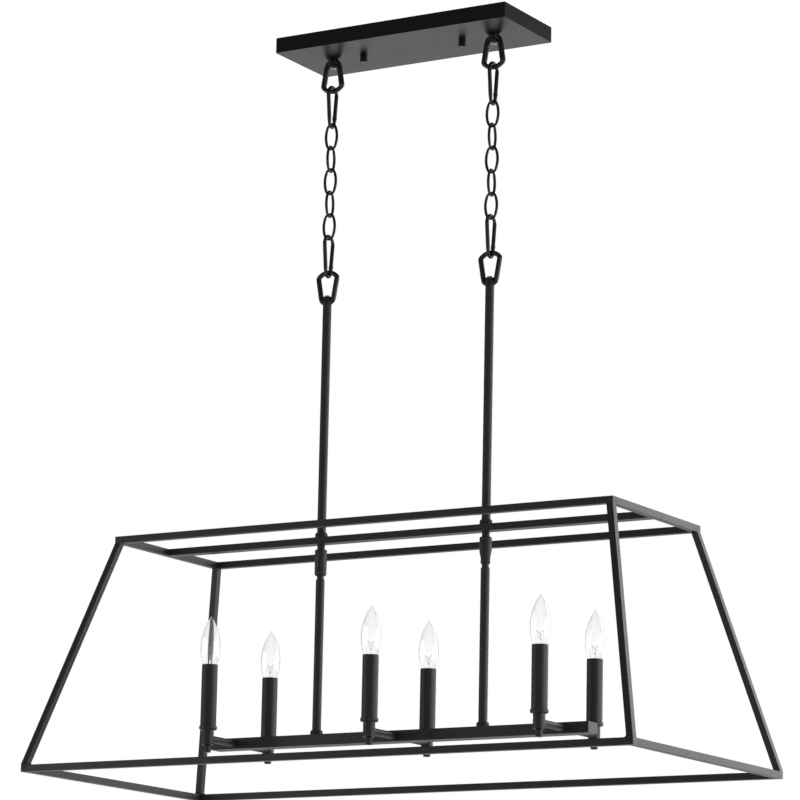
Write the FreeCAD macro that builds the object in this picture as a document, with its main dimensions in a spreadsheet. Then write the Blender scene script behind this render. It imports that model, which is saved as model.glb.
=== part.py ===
import FreeCAD, Part
import math
import os
import Sketcher
from FreeCAD import Placement, Rotation, Vector

# Linear island pendant: a flat ceiling canopy, two chains, two stems and an open tapered
# cage of square bar, with six candle lamps on arms either side of a bar inside it.
# Frame: millimetres, +Z up, +X along the canopy, the near long side towards -Y.
# The origin is on the ceiling, at the middle of the mounting crossbar.

SIZES = {
    # ceiling canopy, a folded pan open towards the ceiling
    "canopy_length": 431.8,
    "canopy_width": 155.6,
    "canopy_height": 25.4,
    "canopy_wall": 1.2,
    "canopy_corner": 1.6,
    # crossbar on the junction box, with the studs and barrel nuts that carry the canopy
    "crossbar_length": 215.0,
    "crossbar_width": 22.0,
    "crossbar_thickness": 2.5,
    "box_slot_spacing": 79.4,
    "box_slot_length": 14.3,
    "box_slot_width": 4.8,
    "wire_hole": 10.5,
    "stud_spacing": 187.0,
    "stud_diameter": 4.2,
    "stud_engagement": 8.0,
    "nut_diameter": 12.0,
    "nut_length": 11.7,
    # hang loops: a trapezoid of round wire through a hub, two below the canopy, two on the stems
    "hang_spacing": 304.8,
    "loop_wire": 7.8,
    "loop_height": 57.8,
    "loop_wide": 43.0,
    "loop_narrow": 29.0,
    "loop_arch": 8.5,
    "loop_shoulder": 4.5,
    "loop_corner": 6.5,
    "hub_diameter": 15.0,
    "hub_length": 13.0,
    "hub_chamfer": 0.8,
    "spigot_diameter": 9.0,
    "spigot_length": 12.0,
    "spigot_bore": 5.8,
    "spigot_reveal": 2.3,
    "lock_nut_width": 16.0,
    "lock_nut_thickness": 4.0,
    # chain: oval links between two larger pear-shaped connectors that open at a slit
    "link_count": 5,
    "link_wire": 4.0,
    "link_length": 46.5,
    "link_width": 25.0,
    "link_end_radius": 8.0,
    "link_seam": 0.4,
    "connector_wire": 5.4,
    "connector_length": 73.5,
    "connector_wide": 30.0,
    "connector_narrow": 19.8,
    "slit_width": 0.8,
    "slit_height": 20.0,
    "slit_lip": 1.0,
    "slit_lip_length": 1.6,
    "wire_sides": 12,
    # stems from the loops through the cage to the candle bar
    "stem_diameter": 13.7,
    "stem_bore": 9.2,
    "upper_stem_length": 385.2,
    "nipple_diameter": 12.3,
    "nipple_reveal": 8.7,
    "nipple_engagement": 12.0,
    "collar_diameter": 20.3,
    "collar_top_diameter": 15.2,
    "collar_band": 4.0,
    "collar_height": 8.0,
    "coupling_diameter": 19.5,
    "coupling_length": 42.3,
    "coupling_chamfer": 2.0,
    "neck_diameter": 11.2,
    "neck_reveal": 5.7,
    "set_screw_diameter": 5.0,
    "set_screw_length": 3.2,
    "set_screw_height": 10.0,
    # cage of square bar, wider at the bottom, with a deeper bar along the middle of the top
    "cage_height": 388.0,
    "cage_top_length": 908.0,
    "cage_top_width": 294.0,
    "cage_bottom_length": 1092.0,
    "cage_bottom_width": 506.0,
    "bar_side": 11.0,
    "foot_length": 6.5,
    "foot_fillet": 4.5,
    "corner_round": 1.5,
    "centre_bar_depth": 19.0,
    "centre_bar_height": 11.0,
    # candle bar, arms and cups
    "candle_bar_length": 692.0,
    "candle_bar_depth": 30.0,
    "candle_bar_height": 17.5,
    "candle_bar_drop": 318.7,
    "candle_pitch": 301.0,
    "candle_reach": 88.5,
    "arm_diameter": 11.5,
    "arm_seat": 6.5,
    "ring_nut_diameter": 14.0,
    "ring_nut_length": 4.0,
    "cup_diameter": 19.0,
    "cup_above_arm": 13.9,
    "cup_below_arm": 9.6,
    "dish_diameter": 28.4,
    "dish_height": 6.0,
    "dish_floor": 1.5,
    "dish_round": 2.0,
    "finial_diameter": 11.5,
    "finial_length": 12.6,
    "finial_chamfer": 1.4,
    # lamp holder, sleeve and lamp
    "nipple_tube_diameter": 9.6,
    "nipple_tube_bore": 6.4,
    "socket_diameter": 21.0,
    "socket_length": 40.0,
    "socket_recess": 6.0,
    "socket_seat": 8.0,
    "sleeve_diameter": 25.4,
    "sleeve_wall": 1.0,
    "sleeve_length": 103.0,
    "bulb_diameter": 31.75,
    "bulb_reveal": 78.0,
    "bulb_belly_height": 28.0,
    "bulb_rim_diameter": 22.0,
    "bulb_tip_diameter": 3.2,
    "bulb_tip_length": 2.5,
    "glass_wall": 0.7,
    "base_diameter": 11.7,
    "base_length": 16.5,
    "base_contact_diameter": 4.4,
    "base_insulator": 3.0,
    "base_wall": 0.5,
    # clearances
    "pivot_gap": 0.3,
    "slip_gap": 0.1,
    "hole_gap": 0.3,
}

doc = FreeCAD.newDocument("island_pendant")
sheet = doc.addObject("Spreadsheet::Sheet", "sizes")
for row, (alias, number) in enumerate(SIZES.items(), start=1):
    sheet.set(f"A{row}", alias)
    sheet.set(f"B{row}", str(number))
    sheet.setAlias(f"B{row}", alias)
doc.recompute()

nodes = []


def value(expression):
    """The number that an expression of sheet sizes comes to."""
    return float(sheet.evalExpression(expression))


def S(alias):
    """The expression for one size in the sheet."""
    return f"sizes.{alias}"


# ---- helpers: bodies, sketches and features -------------------------------------------------


def new_body(label, at=Vector(), turn=Rotation()):
    """An empty body with its label and place."""
    body = doc.addObject("PartDesign::Body", label)
    body.Label = label
    body.Placement = Placement(at, turn)
    return body


def keep(part):
    """Count a finished sub-part as a node to be written out."""
    nodes.append(part)
    return part


def group(label, bodies):
    """Several like bodies kept as one node of separate solids."""
    compound = doc.addObject("Part::Compound", label)
    compound.Label = label
    compound.Links = bodies
    return keep(compound)


def new_sketch(body, name, role="XY_Plane", offset="0"):
    """A sketch on one of the body's own planes, raised along that plane's normal."""
    sketch = body.newObject("Sketcher::SketchObject", name)
    plane = next(item for item in body.Origin.OriginFeatures if item.Role == role)
    sketch.AttachmentSupport = [(plane, "")]
    sketch.MapMode = "FlatFace"
    sketch.AttachmentOffset = Placement(Vector(0, 0, value(offset)), Rotation())
    if value(offset):
        sketch.setExpression("AttachmentOffset.Base.z", offset)
    return sketch


def bind(sketch, constraint, name, expression):
    """Add a dimension to a sketch and bind it to sheet sizes."""
    index = sketch.addConstraint(constraint)
    sketch.renameConstraint(index, name)
    sketch.setExpression(f"Constraints.{name}", expression)


def bind_point(sketch, geometry, end, name, x, y):
    """Hold a sketch point at (x, y), both expressions of sheet sizes."""
    for axis, kind, expression in (("x", "DistanceX", x), ("y", "DistanceY", y)):
        number = value(expression)
        if abs(number) < 1e-9:
            on_axis = -2 if axis == "x" else -1
            sketch.addConstraint(Sketcher.Constraint("PointOnObject", geometry, end, on_axis))
        else:
            held = Sketcher.Constraint(kind, -1, 1, geometry, end, number)
            bind(sketch, held, f"{name}_{axis}", expression)


def draw_polygon(sketch, corners, name="corner"):
    """A closed outline of straight sides through corners given as expressions."""
    points = [Vector(value(x), value(y), 0) for x, y in corners]
    count = len(points)
    first = sketch.GeometryCount
    for index in range(count):
        sketch.addGeometry(Part.LineSegment(points[index], points[(index + 1) % count]), False)
    for index in range(count):
        following = first + (index + 1) % count
        sketch.addConstraint(Sketcher.Constraint("Coincident", first + index, 2, following, 1))
    for index, (x, y) in enumerate(corners):
        bind_point(sketch, first + index, 1, f"{name}_{index}", x, y)


def draw_circle(sketch, x, y, diameter, name="circle"):
    """A circle whose centre and diameter are expressions."""
    centre = Vector(value(x), value(y), 0)
    radius = value(diameter) / 2
    circle = sketch.addGeometry(Part.Circle(centre, Vector(0, 0, 1), radius), False)
    bind_point(sketch, circle, 3, f"{name}_centre", x, y)
    size = Sketcher.Constraint("Diameter", circle, 2 * radius)
    bind(sketch, size, f"{name}_diameter", diameter)


def draw_run(sketch, pieces):
    """Lines and arcs laid end to end, joined where their ends meet."""
    first = sketch.GeometryCount
    for piece in pieces:
        sketch.addGeometry(piece, False)
    ends = []
    for index, piece in enumerate(pieces):
        ends.append((first + index, 1, piece.StartPoint))
        ends.append((first + index, 2, piece.EndPoint))
    for index, (geometry, end, point) in enumerate(ends):
        for other, other_end, other_point in ends[index + 1:]:
            if other != geometry and point.distanceToPoint(other_point) < 1e-6:
                joined = Sketcher.Constraint("Coincident", geometry, end, other, other_end)
                sketch.addConstraint(joined)


def draw_rectangle(sketch, x0, x1, y0, y1, name="corner"):
    """A rectangle between two X and two Y expressions."""
    draw_polygon(sketch, [(x0, y0), (x1, y0), (x1, y1), (x0, y1)], name)


def arc(centre, radius, start, end):
    """An arc about centre, counter-clockwise from one angle to the other, in radians."""
    return Part.ArcOfCircle(Part.Circle(centre, Vector(0, 0, 1), radius), start, end)


def pad(body, sketch, length, name, reverse=False):
    """Raise a sketch into a solid."""
    feature = body.newObject("PartDesign::Pad", name)
    feature.Profile = sketch
    feature.Length = value(length)
    feature.setExpression("Length", length)
    feature.Reversed = reverse
    return feature


def pocket(body, sketch, length, name, reverse=False):
    """Cut a sketch into the solid, and check that it took some away."""
    doc.recompute()
    before = body.Shape.Volume
    feature = body.newObject("PartDesign::Pocket", name)
    feature.Profile = sketch
    feature.Length = value(length)
    feature.setExpression("Length", length)
    feature.Reversed = reverse
    doc.recompute()
    if body.Shape.Volume > before - 1e-3:
        raise RuntimeError(f"{body.Label}: {name} cuts nothing")
    return feature


def revolve(body, sketch, name):
    """Turn a profile drawn on the XZ plane about the body's Z axis."""
    feature = body.newObject("PartDesign::Revolution", name)
    feature.Profile = sketch
    feature.ReferenceAxis = (sketch, ["V_Axis"])
    feature.Angle = 360
    return feature


def turned(label, corners, at=Vector(), turn=Rotation()):
    """A turned piece: a body revolved from (radius, height) corners."""
    body = new_body(label, at, turn)
    profile = new_sketch(body, "profile", "XZ_Plane")
    draw_polygon(profile, corners)
    revolve(body, profile, "turning")
    return body


def edges_where(body, test):
    """Names of the body's edges whose midpoint passes a test, in the body's own frame."""
    shape = body.Tip.Shape
    names = []
    for index, edge in enumerate(shape.Edges, start=1):
        middle = edge.valueAt((edge.FirstParameter + edge.LastParameter) / 2)
        if test(edge, middle):
            names.append(f"Edge{index}")
    return names


def round_edges(body, names, radius, name):
    """Fillet named edges of the body's last feature."""
    rounded = body.Tip
    feature = body.newObject("PartDesign::Fillet", name)
    feature.Base = (rounded, names)
    feature.Radius = value(radius)
    feature.setExpression("Radius", radius)
    return feature


def chamfer_edges(body, names, size, name):
    """Cut named edges of the body's last feature off at 45 degrees."""
    squared = body.Tip
    feature = body.newObject("PartDesign::Chamfer", name)
    feature.Base = (squared, names)
    feature.Size = value(size)
    feature.setExpression("Size", size)
    return feature


def draw_wire_section(sketch, x, y, wire):
    """The many-sided section of a round wire, its flats as far apart as the wire is thick."""
    sides = int(value(S("wire_sides")))
    circle = f"{wire} / 2 / cos(180deg / {S('wire_sides')})"
    corners = []
    for index in range(sides):
        angle = f"({index} + 0.5) * 360deg / {S('wire_sides')}"
        corners.append((f"{x} + {circle} * cos({angle})", f"{y} + {circle} * sin({angle})"))
    draw_polygon(sketch, corners, "flat")


def sweep_wire(body, run, start_height, wire):
    """Bend a wire round a closed run drawn on the XZ plane, from its crossing of the Z axis."""
    path = new_sketch(body, "centreline", "XZ_Plane")
    draw_run(path, run)
    section = new_sketch(body, "section", "YZ_Plane")
    draw_wire_section(section, "0", start_height, wire)
    feature = body.newObject("PartDesign::AdditivePipe", "bent_wire")
    feature.Profile = section
    feature.Spine = (path, [])
    return path


# ---- levels and stations worked out from the sizes ------------------------------------------

canopy_underside = -value(S("canopy_height"))
half_hang = value(S("hang_spacing")) / 2
pivot_gap = value(S("pivot_gap"))
loop_wire = value(S("loop_wire"))
link_wire = value(S("link_wire"))
connector_wire = value(S("connector_wire"))
loop_run = value(S("loop_height")) - loop_wire
link_run = value(S("link_length")) - link_wire
connector_run = value(S("connector_length")) - connector_wire
link_count = int(value(S("link_count")))

# distances between the wire centres where two hooked pieces cross
loop_to_connector = (loop_wire + connector_wire) / 2 + pivot_gap
connector_to_link = (connector_wire + link_wire) / 2 + pivot_gap
link_to_link = link_wire + pivot_gap

canopy_loop_bar = canopy_underside - value(S("loop_height")) + loop_wire / 2
upper_connector_top = canopy_loop_bar + loop_to_connector
link_tops = [upper_connector_top - connector_run + connector_to_link]
for _ in range(link_count - 1):
    link_tops.append(link_tops[-1] - link_run + link_to_link)
lower_connector_top = link_tops[-1] - link_run + connector_to_link
stem_loop_bar = lower_connector_top - connector_run + loop_to_connector
stem_top = stem_loop_bar + loop_wire / 2 - value(S("loop_height"))
cage_top = stem_top - value(S("upper_stem_length"))
cage_bottom = cage_top - value(S("cage_height"))
nipple_bottom = cage_top - value(S("centre_bar_height")) - value(S("nipple_reveal"))
coupling_bottom = nipple_bottom - value(S("coupling_length"))
candle_bar_top = cage_top - value(S("candle_bar_drop"))
candle_bar_bottom = candle_bar_top - value(S("candle_bar_height"))
arm_level = (candle_bar_top + candle_bar_bottom) / 2
dish_bottom = arm_level + value(S("cup_above_arm"))
sleeve_bottom = dish_bottom + value(S("dish_floor"))
sleeve_top = sleeve_bottom + value(S("sleeve_length"))
cup_bottom = arm_level - value(S("cup_below_arm"))

SIDES = (("left", -1), ("right", 1))


# ---- canopy group --------------------------------------------------------------------------


def make_canopy_pan():
    """Flat rectangular pan, open towards the ceiling, with holes for the loops and studs."""
    body = new_body("canopy_pan", Vector(0, 0, canopy_underside))
    outline = new_sketch(body, "outline")
    half_length = f"{S('canopy_length')} / 2"
    half_width = f"{S('canopy_width')} / 2"
    draw_rectangle(outline, f"-{half_length}", half_length, f"-{half_width}", half_width)
    pad(body, outline, S("canopy_height"), "pan")
    doc.recompute()
    upright = edges_where(body, lambda edge, middle: abs(edge.tangentAt(edge.FirstParameter).z) > 0.9)
    round_edges(body, upright, S("canopy_corner"), "corners")
    doc.recompute()
    hollow = new_sketch(body, "hollow", "XY_Plane", S("canopy_wall"))
    inner_length = f"{half_length} - {S('canopy_wall')}"
    inner_width = f"{half_width} - {S('canopy_wall')}"
    draw_rectangle(
        hollow, f"-({inner_length})", inner_length, f"-({inner_width})", inner_width
    )
    pocket(body, hollow, S("canopy_height"), "inside", reverse=True)
    holes = new_sketch(body, "holes")
    for side, sign in SIDES:
        draw_circle(
            holes, f"{sign} * {S('hang_spacing')} / 2", "0",
            f"{S('spigot_diameter')} + 2 * {S('hole_gap')}", f"loop_hole_{side}",
        )
        draw_circle(
            holes, f"{sign} * {S('stud_spacing')} / 2", "0",
            f"{S('stud_diameter')} + 2 * {S('hole_gap')}", f"stud_hole_{side}",
        )
    pocket(body, holes, S("canopy_wall"), "drilling", reverse=True)
    return keep(body)


def make_mounting_crossbar():
    """Steel strip screwed to the junction box: two slots, a wire hole and two stud holes."""
    body = new_body("mounting_crossbar", Vector(0, 0, -value(S("crossbar_thickness"))))
    strip = new_sketch(body, "strip")
    half_length = f"{S('crossbar_length')} / 2"
    half_width = f"{S('crossbar_width')} / 2"
    draw_rectangle(strip, f"-{half_length}", half_length, f"-{half_width}", half_width)
    pad(body, strip, S("crossbar_thickness"), "strip_metal")
    holes = new_sketch(body, "holes")
    draw_circle(holes, "0", "0", S("wire_hole"), "wire_hole")
    for side, sign in SIDES:
        stud_x = f"{sign} * {S('stud_spacing')} / 2"
        draw_circle(holes, stud_x, "0", S("stud_diameter"), f"stud_hole_{side}")
    pocket(body, holes, S("crossbar_thickness"), "holes_cut", reverse=True)
    slots = new_sketch(body, "slots")
    slot_radius = value(S("box_slot_width")) / 2
    slot_half = value(S("box_slot_length")) / 2 - slot_radius
    for side, sign in SIDES:
        middle = sign * value(S("box_slot_spacing")) / 2
        near = Vector(middle - slot_half, 0, 0)
        far = Vector(middle + slot_half, 0, 0)
        up = Vector(0, slot_radius, 0)
        draw_run(slots, [
            Part.LineSegment(near - up, far - up),
            arc(far, slot_radius, -math.pi / 2, math.pi / 2),
            Part.LineSegment(far + up, near + up),
            arc(near, slot_radius, math.pi / 2, 3 * math.pi / 2),
        ])
    pocket(body, slots, S("crossbar_thickness"), "slots_cut", reverse=True)
    return keep(body)


def make_crossbar_studs():
    """Two threaded studs that stand down from the crossbar through the canopy."""
    reach = f"{S('canopy_height')} + {S('stud_engagement')}"
    studs = []
    for side, sign in SIDES:
        at = Vector(sign * value(S("stud_spacing")) / 2, 0, 0)
        body = new_body(f"crossbar_stud_{side}", at)
        rod = new_sketch(body, "rod")
        draw_circle(rod, "0", "0", S("stud_diameter"))
        pad(body, rod, reach, "stud", reverse=True)
        studs.append(body)
    return group("crossbar_studs", studs)


def make_canopy_nuts():
    """Two plain barrel nuts on the studs, tight against the canopy's underside."""
    radius = f"{S('nut_diameter')} / 2"
    bore = f"{S('stud_diameter')} / 2 + {S('slip_gap')}"
    depth = f"{S('stud_engagement')} + {S('hole_gap')}"
    corners = [
        ("0", f"-{S('nut_length')}"), (radius, f"-{S('nut_length')}"), (radius, "0"),
        (bore, "0"), (bore, f"-({depth})"), ("0", f"-({depth})"),
    ]
    nuts = []
    for side, sign in SIDES:
        at = Vector(sign * value(S("stud_spacing")) / 2, 0, canopy_underside)
        nuts.append(turned(f"canopy_nut_{side}", corners, at))
    return group("canopy_nuts", nuts)


def loop_run_pieces():
    """Centreline of a hang loop: a straight narrow bar at height 0, slanting legs, an arched top."""
    narrow = (value(S("loop_narrow")) - loop_wire) / 2
    wide = (value(S("loop_wide")) - loop_wire) / 2
    arch = value(S("loop_arch"))
    corner = value(S("loop_corner"))
    shoulder = value(S("loop_shoulder"))
    arch_radius = (wide ** 2 + arch ** 2) / (2 * arch)
    arch_centre = Vector(0, loop_run - arch_radius, 0)
    leg_foot = Vector(narrow, 0, 0)
    leg = (Vector(wide, loop_run - arch, 0) - leg_foot).normalize()
    inward = Vector(-leg.y, leg.x, 0)
    # corner arc between the narrow bar and the leg
    lean = math.atan2(leg.y, leg.x)
    back = corner * math.tan(lean / 2)
    corner_centre = Vector(narrow - back, corner, 0)
    leg_start = leg_foot + leg * back
    # shoulder arc, tangent to the leg and inside the arch
    base = leg_foot + inward * shoulder - arch_centre
    along = base.dot(leg)
    reach = math.sqrt(along ** 2 - base.dot(base) + (arch_radius - shoulder) ** 2) - along
    shoulder_centre = leg_foot + inward * shoulder + leg * reach
    leg_end = leg_foot + leg * reach
    out = (shoulder_centre - arch_centre).normalize()
    arch_angle = math.atan2(out.y, out.x)
    leg_angle = math.atan2(-inward.y, -inward.x)
    mirror = lambda point: Vector(-point.x, point.y, 0)
    return [
        arc(arch_centre, arch_radius, arch_angle, math.pi / 2),
        arc(arch_centre, arch_radius, math.pi / 2, math.pi - arch_angle),
        arc(mirror(shoulder_centre), shoulder, math.pi - arch_angle, math.pi - leg_angle),
        Part.LineSegment(mirror(leg_end), mirror(leg_start)),
        arc(mirror(corner_centre), corner, math.pi - leg_angle, 3 * math.pi / 2),
        Part.LineSegment(Vector(back - narrow, 0, 0), Vector(narrow - back, 0, 0)),
        arc(corner_centre, corner, -math.pi / 2, leg_angle),
        Part.LineSegment(leg_start, leg_end),
        arc(shoulder_centre, shoulder, leg_angle, arch_angle),
    ]


def make_hang_loop(label, at, turn):
    """A hang loop with a hub across its narrow end and a bored spigot right through the hub."""
    body = new_body(label, at, turn)
    sweep_wire(body, loop_run_pieces(), f"{S('loop_height')} - {S('loop_wire')}", S("loop_wire"))
    hub_face = f"-{S('loop_wire')} / 2"
    hub_end = f"{hub_face} + {S('hub_length')}"
    hub = new_sketch(body, "hub", "XY_Plane", hub_face)
    draw_circle(hub, "0", "0", S("hub_diameter"))
    pad(body, hub, S("hub_length"), "hub_boss")
    spigot = new_sketch(body, "spigot", "XY_Plane", hub_face)
    draw_circle(spigot, "0", "0", S("spigot_diameter"))
    pad(body, spigot, S("spigot_length"), "spigot_thread", reverse=True)
    spigot_end = new_sketch(body, "spigot_end", "XY_Plane", hub_end)
    draw_circle(spigot_end, "0", "0", S("spigot_diameter"))
    pad(body, spigot_end, S("spigot_reveal"), "spigot_tip")
    wire_way = new_sketch(body, "wire_way", "XY_Plane", f"{hub_end} + {S('spigot_reveal')}")
    draw_circle(wire_way, "0", "0", S("spigot_bore"))
    through = f"{S('spigot_reveal')} + {S('hub_length')} + {S('spigot_length')}"
    pocket(body, wire_way, through, "boring")
    radius = value(S("hub_diameter")) / 2
    level = value(hub_end)

    def hub_rim(edge, middle):
        return abs(middle.z - level) < 1e-3 and abs(math.hypot(middle.x, middle.y) - radius) < 1e-3

    chamfer_edges(body, edges_where(body, hub_rim), S("hub_chamfer"), "eased_end")
    return keep(body)


def make_canopy_loops():
    """Two loops hanging wide end down from the canopy."""
    upside_down = Rotation(Vector(1, 0, 0), 180)
    for side, sign in SIDES:
        at = Vector(sign * half_hang, 0, canopy_underside - loop_wire / 2)
        make_hang_loop(f"canopy_loop_{side}", at, upside_down)


def make_loop_lock_nuts():
    """Hexagonal nuts on the loop spigots, inside the canopy."""
    nuts = []
    for side, sign in SIDES:
        at = Vector(sign * half_hang, 0, canopy_underside + value(S("canopy_wall")))
        body = new_body(f"loop_lock_nut_{side}", at)
        flats = new_sketch(body, "flats")
        across = f"{S('lock_nut_width')} / 2 / cos(30deg)"
        corners = []
        for index in range(6):
            angle = f"{index} * 60deg"
            corners.append((f"{across} * cos({angle})", f"{across} * sin({angle})"))
        draw_polygon(flats, corners)
        pad(body, flats, S("lock_nut_thickness"), "nut")
        bore = new_sketch(body, "bore")
        draw_circle(bore, "0", "0", f"{S('spigot_diameter')} + 2 * {S('slip_gap')}")
        pocket(body, bore, S("lock_nut_thickness"), "thread", reverse=True)
        nuts.append(body)
    return group("loop_lock_nuts", nuts)


# ---- chain ---------------------------------------------------------------------------------


def link_run_pieces():
    """Centreline of an oval link: two end arcs blended into two long flat arcs."""
    half_long = link_run / 2
    half_wide = (value(S("link_width")) - link_wire) / 2
    end = value(S("link_end_radius"))
    rise = half_long - end
    side = (half_wide ** 2 + rise ** 2 - end ** 2) / (2 * (half_wide - end))
    blend = math.atan2(rise, side - half_wide)
    return [
        arc(Vector(0, rise, 0), end, blend, math.pi / 2),
        arc(Vector(0, rise, 0), end, math.pi / 2, math.pi - blend),
        arc(Vector(side - half_wide, 0, 0), side, math.pi - blend, math.pi + blend),
        arc(Vector(0, -rise, 0), end, math.pi + blend, 2 * math.pi - blend),
        arc(Vector(half_wide - side, 0, 0), side, -blend, blend),
    ]


def make_link(label, at, turn):
    """One oval chain link, its wire ends meeting in a seam half way up one side."""
    body = new_body(label, at, turn)
    sweep_wire(body, link_run_pieces(), f"({S('link_length')} - {S('link_wire')}) / 2", S("link_wire"))
    seam = new_sketch(body, "seam", "XY_Plane", f"-{S('link_seam')} / 2")
    edge = f"-{S('link_width')} / 2"
    draw_rectangle(
        seam, f"{edge} - {S('link_wire')}", f"{edge} + {S('link_wire')} * 1.5",
        f"-{S('link_wire')}", S("link_wire"),
    )
    pocket(body, seam, S("link_seam"), "seam_cut", reverse=True)
    return keep(body)


def connector_geometry():
    """Radii, centres and lean of the pear-shaped connector's centreline."""
    wide = (value(S("connector_wide")) - connector_wire) / 2
    narrow = (value(S("connector_narrow")) - connector_wire) / 2
    upper = connector_run / 2 - wide
    lower = -connector_run / 2 + narrow
    lean = math.asin((wide - narrow) / (upper - lower))
    return wide, narrow, upper, lower, lean


def connector_run_pieces():
    """Centreline of a connector: a wide arc above and a narrow arc below, joined by straight legs."""
    wide, narrow, upper, lower, lean = connector_geometry()
    out = Vector(math.cos(lean), -math.sin(lean), 0)
    mirror = Vector(-out.x, out.y, 0)
    top = Vector(0, upper, 0)
    bottom = Vector(0, lower, 0)
    return [
        arc(top, wide, -lean, math.pi / 2),
        arc(top, wide, math.pi / 2, math.pi + lean),
        Part.LineSegment(top + mirror * wide, bottom + mirror * narrow),
        arc(bottom, narrow, math.pi + lean, 2 * math.pi - lean),
        Part.LineSegment(bottom + out * narrow, top + out * wide),
    ]


def make_connector(label, at, turn):
    """A pear-shaped connector, with a slit between two raised lips low on one leg."""
    body = new_body(label, at, turn)
    half_run = f"({S('connector_length')} - {S('connector_wire')}) / 2"
    sweep_wire(body, connector_run_pieces(), half_run, S("connector_wire"))
    wide, narrow, upper, lower, lean = connector_geometry()
    height = value(S("slit_height")) - value(S("connector_length")) / 2
    leg_foot = Vector(math.cos(lean), 0, -math.sin(lean)) * narrow + Vector(0, 0, lower)
    leg = Vector(math.sin(lean), 0, math.cos(lean))
    slit = leg_foot + leg * ((height - leg_foot.z) / leg.z)
    along_leg = Rotation(Vector(0, 1, 0), math.degrees(lean))
    lips = body.newObject("PartDesign::AdditiveCylinder", "slit_lips")
    lips.Radius = connector_wire / 2 + value(S("slit_lip")) / 2
    lips.setExpression("Radius", f"{S('connector_wire')} / 2 + {S('slit_lip')} / 2")
    lips.Height = 2 * value(S("slit_lip_length")) + value(S("slit_width"))
    lips.setExpression("Height", f"2 * {S('slit_lip_length')} + {S('slit_width')}")
    lips.Placement = Placement(slit - leg * (lips.Height.Value / 2), along_leg)
    cut = body.newObject("PartDesign::SubtractiveBox", "slit")
    wide_cut = 2 * connector_wire
    cut.Length = wide_cut
    cut.Width = wide_cut
    cut.setExpression("Length", f"2 * {S('connector_wire')}")
    cut.setExpression("Width", f"2 * {S('connector_wire')}")
    cut.Height = value(S("slit_width"))
    cut.setExpression("Height", S("slit_width"))
    middle = along_leg.multVec(Vector(wide_cut, wide_cut, value(S("slit_width"))) / 2)
    cut.Placement = Placement(slit - middle, along_leg)
    return keep(body)


def make_chain(side, sign):
    """One chain from the canopy loop down to the stem's loop, links turned alternately."""
    x = sign * half_hang
    crosswise = Rotation(Vector(0, 0, 1), 90)
    at = Vector(x, 0, upper_connector_top - connector_run / 2)
    make_connector(f"connector_upper_{side}", at, crosswise)
    for index, top in enumerate(link_tops):
        turn = crosswise if index % 2 else Rotation()
        make_link(f"link_{index + 1}_{side}", Vector(x, 0, top - link_run / 2), turn)
    at = Vector(x, 0, lower_connector_top - connector_run / 2)
    make_connector(f"connector_lower_{side}", at, crosswise)


# ---- stems ---------------------------------------------------------------------------------


def make_upper_stem(side, sign):
    """Pipe from the loop's hub to the cage, then a nipple through the centre bar."""
    outer = f"{S('stem_diameter')} / 2"
    bore = f"{S('stem_bore')} / 2"
    nipple = f"{S('nipple_diameter')} / 2"
    foot = f"-{S('upper_stem_length')}"
    end = (
        f"{foot} - {S('centre_bar_height')} - {S('nipple_reveal')} - {S('nipple_engagement')}"
    )
    corners = [
        (bore, "0"), (outer, "0"), (outer, foot), (nipple, foot), (nipple, end), (bore, end),
    ]
    keep(turned(f"upper_stem_{side}", corners, Vector(sign * half_hang, 0, stem_top)))


def make_stem_collars():
    """Check rings on the stems, two on the cage's centre bar and two on the candle bar."""
    bore = f"{S('stem_diameter')} / 2 + {S('slip_gap')}"
    band = f"{S('collar_diameter')} / 2"
    shoulder = f"{S('collar_top_diameter')} / 2"
    corners = [
        (bore, "0"), (band, "0"), (band, S("collar_band")),
        (shoulder, S("collar_height")), (bore, S("collar_height")),
    ]
    collars = []
    for level, base in (("top", cage_top), ("foot", candle_bar_top)):
        for side, sign in SIDES:
            at = Vector(sign * half_hang, 0, base)
            collars.append(turned(f"{level}_collar_{side}", corners, at))
    return group("stem_collars", collars)


def make_coupling(side, sign):
    """Sleeve coupling below the centre bar, bored for the nipple above and the neck below."""
    outer = f"{S('coupling_diameter')} / 2"
    cut = S("coupling_chamfer")
    upper_bore = f"{S('nipple_diameter')} / 2 + {S('slip_gap')}"
    lower_bore = f"{S('neck_diameter')} / 2 + {S('slip_gap')}"
    passage = f"{S('stem_bore')} / 2"
    length = S("coupling_length")
    upper_seat = f"{length} - {S('nipple_engagement')}"
    lower_seat = S("nipple_engagement")
    corners = [
        (lower_bore, "0"), (f"{outer} - {cut}", "0"), (outer, cut), (outer, f"{length} - {cut} / 2"),
        (f"{outer} - {cut} / 2", length), (upper_bore, length), (upper_bore, upper_seat),
        (passage, upper_seat), (passage, lower_seat), (lower_bore, lower_seat),
    ]
    body = turned(f"stem_coupling_{side}", corners, Vector(sign * half_hang, 0, coupling_bottom))
    tapped = new_sketch(body, "tapped_hole", "XZ_Plane")
    draw_circle(tapped, "0", S("set_screw_height"), f"{S('set_screw_diameter')} + 2 * {S('slip_gap')}")
    pocket(body, tapped, S("coupling_diameter"), "tapping", reverse=True)
    return keep(body)


def make_set_screws():
    """Set screws through the front of the couplings, just below their surface."""
    screws = []
    for side, sign in SIDES:
        front = value(S("coupling_diameter")) / 2 - value(S("hole_gap"))
        at = Vector(sign * half_hang, -front, coupling_bottom + value(S("set_screw_height")))
        body = new_body(f"set_screw_{side}", at, Rotation(Vector(1, 0, 0), 90))
        shank = new_sketch(body, "shank")
        draw_circle(shank, "0", "0", S("set_screw_diameter"))
        pad(body, shank, S("set_screw_length"), "screw", reverse=True)
        screws.append(body)
    return group("coupling_set_screws", screws)


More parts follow.
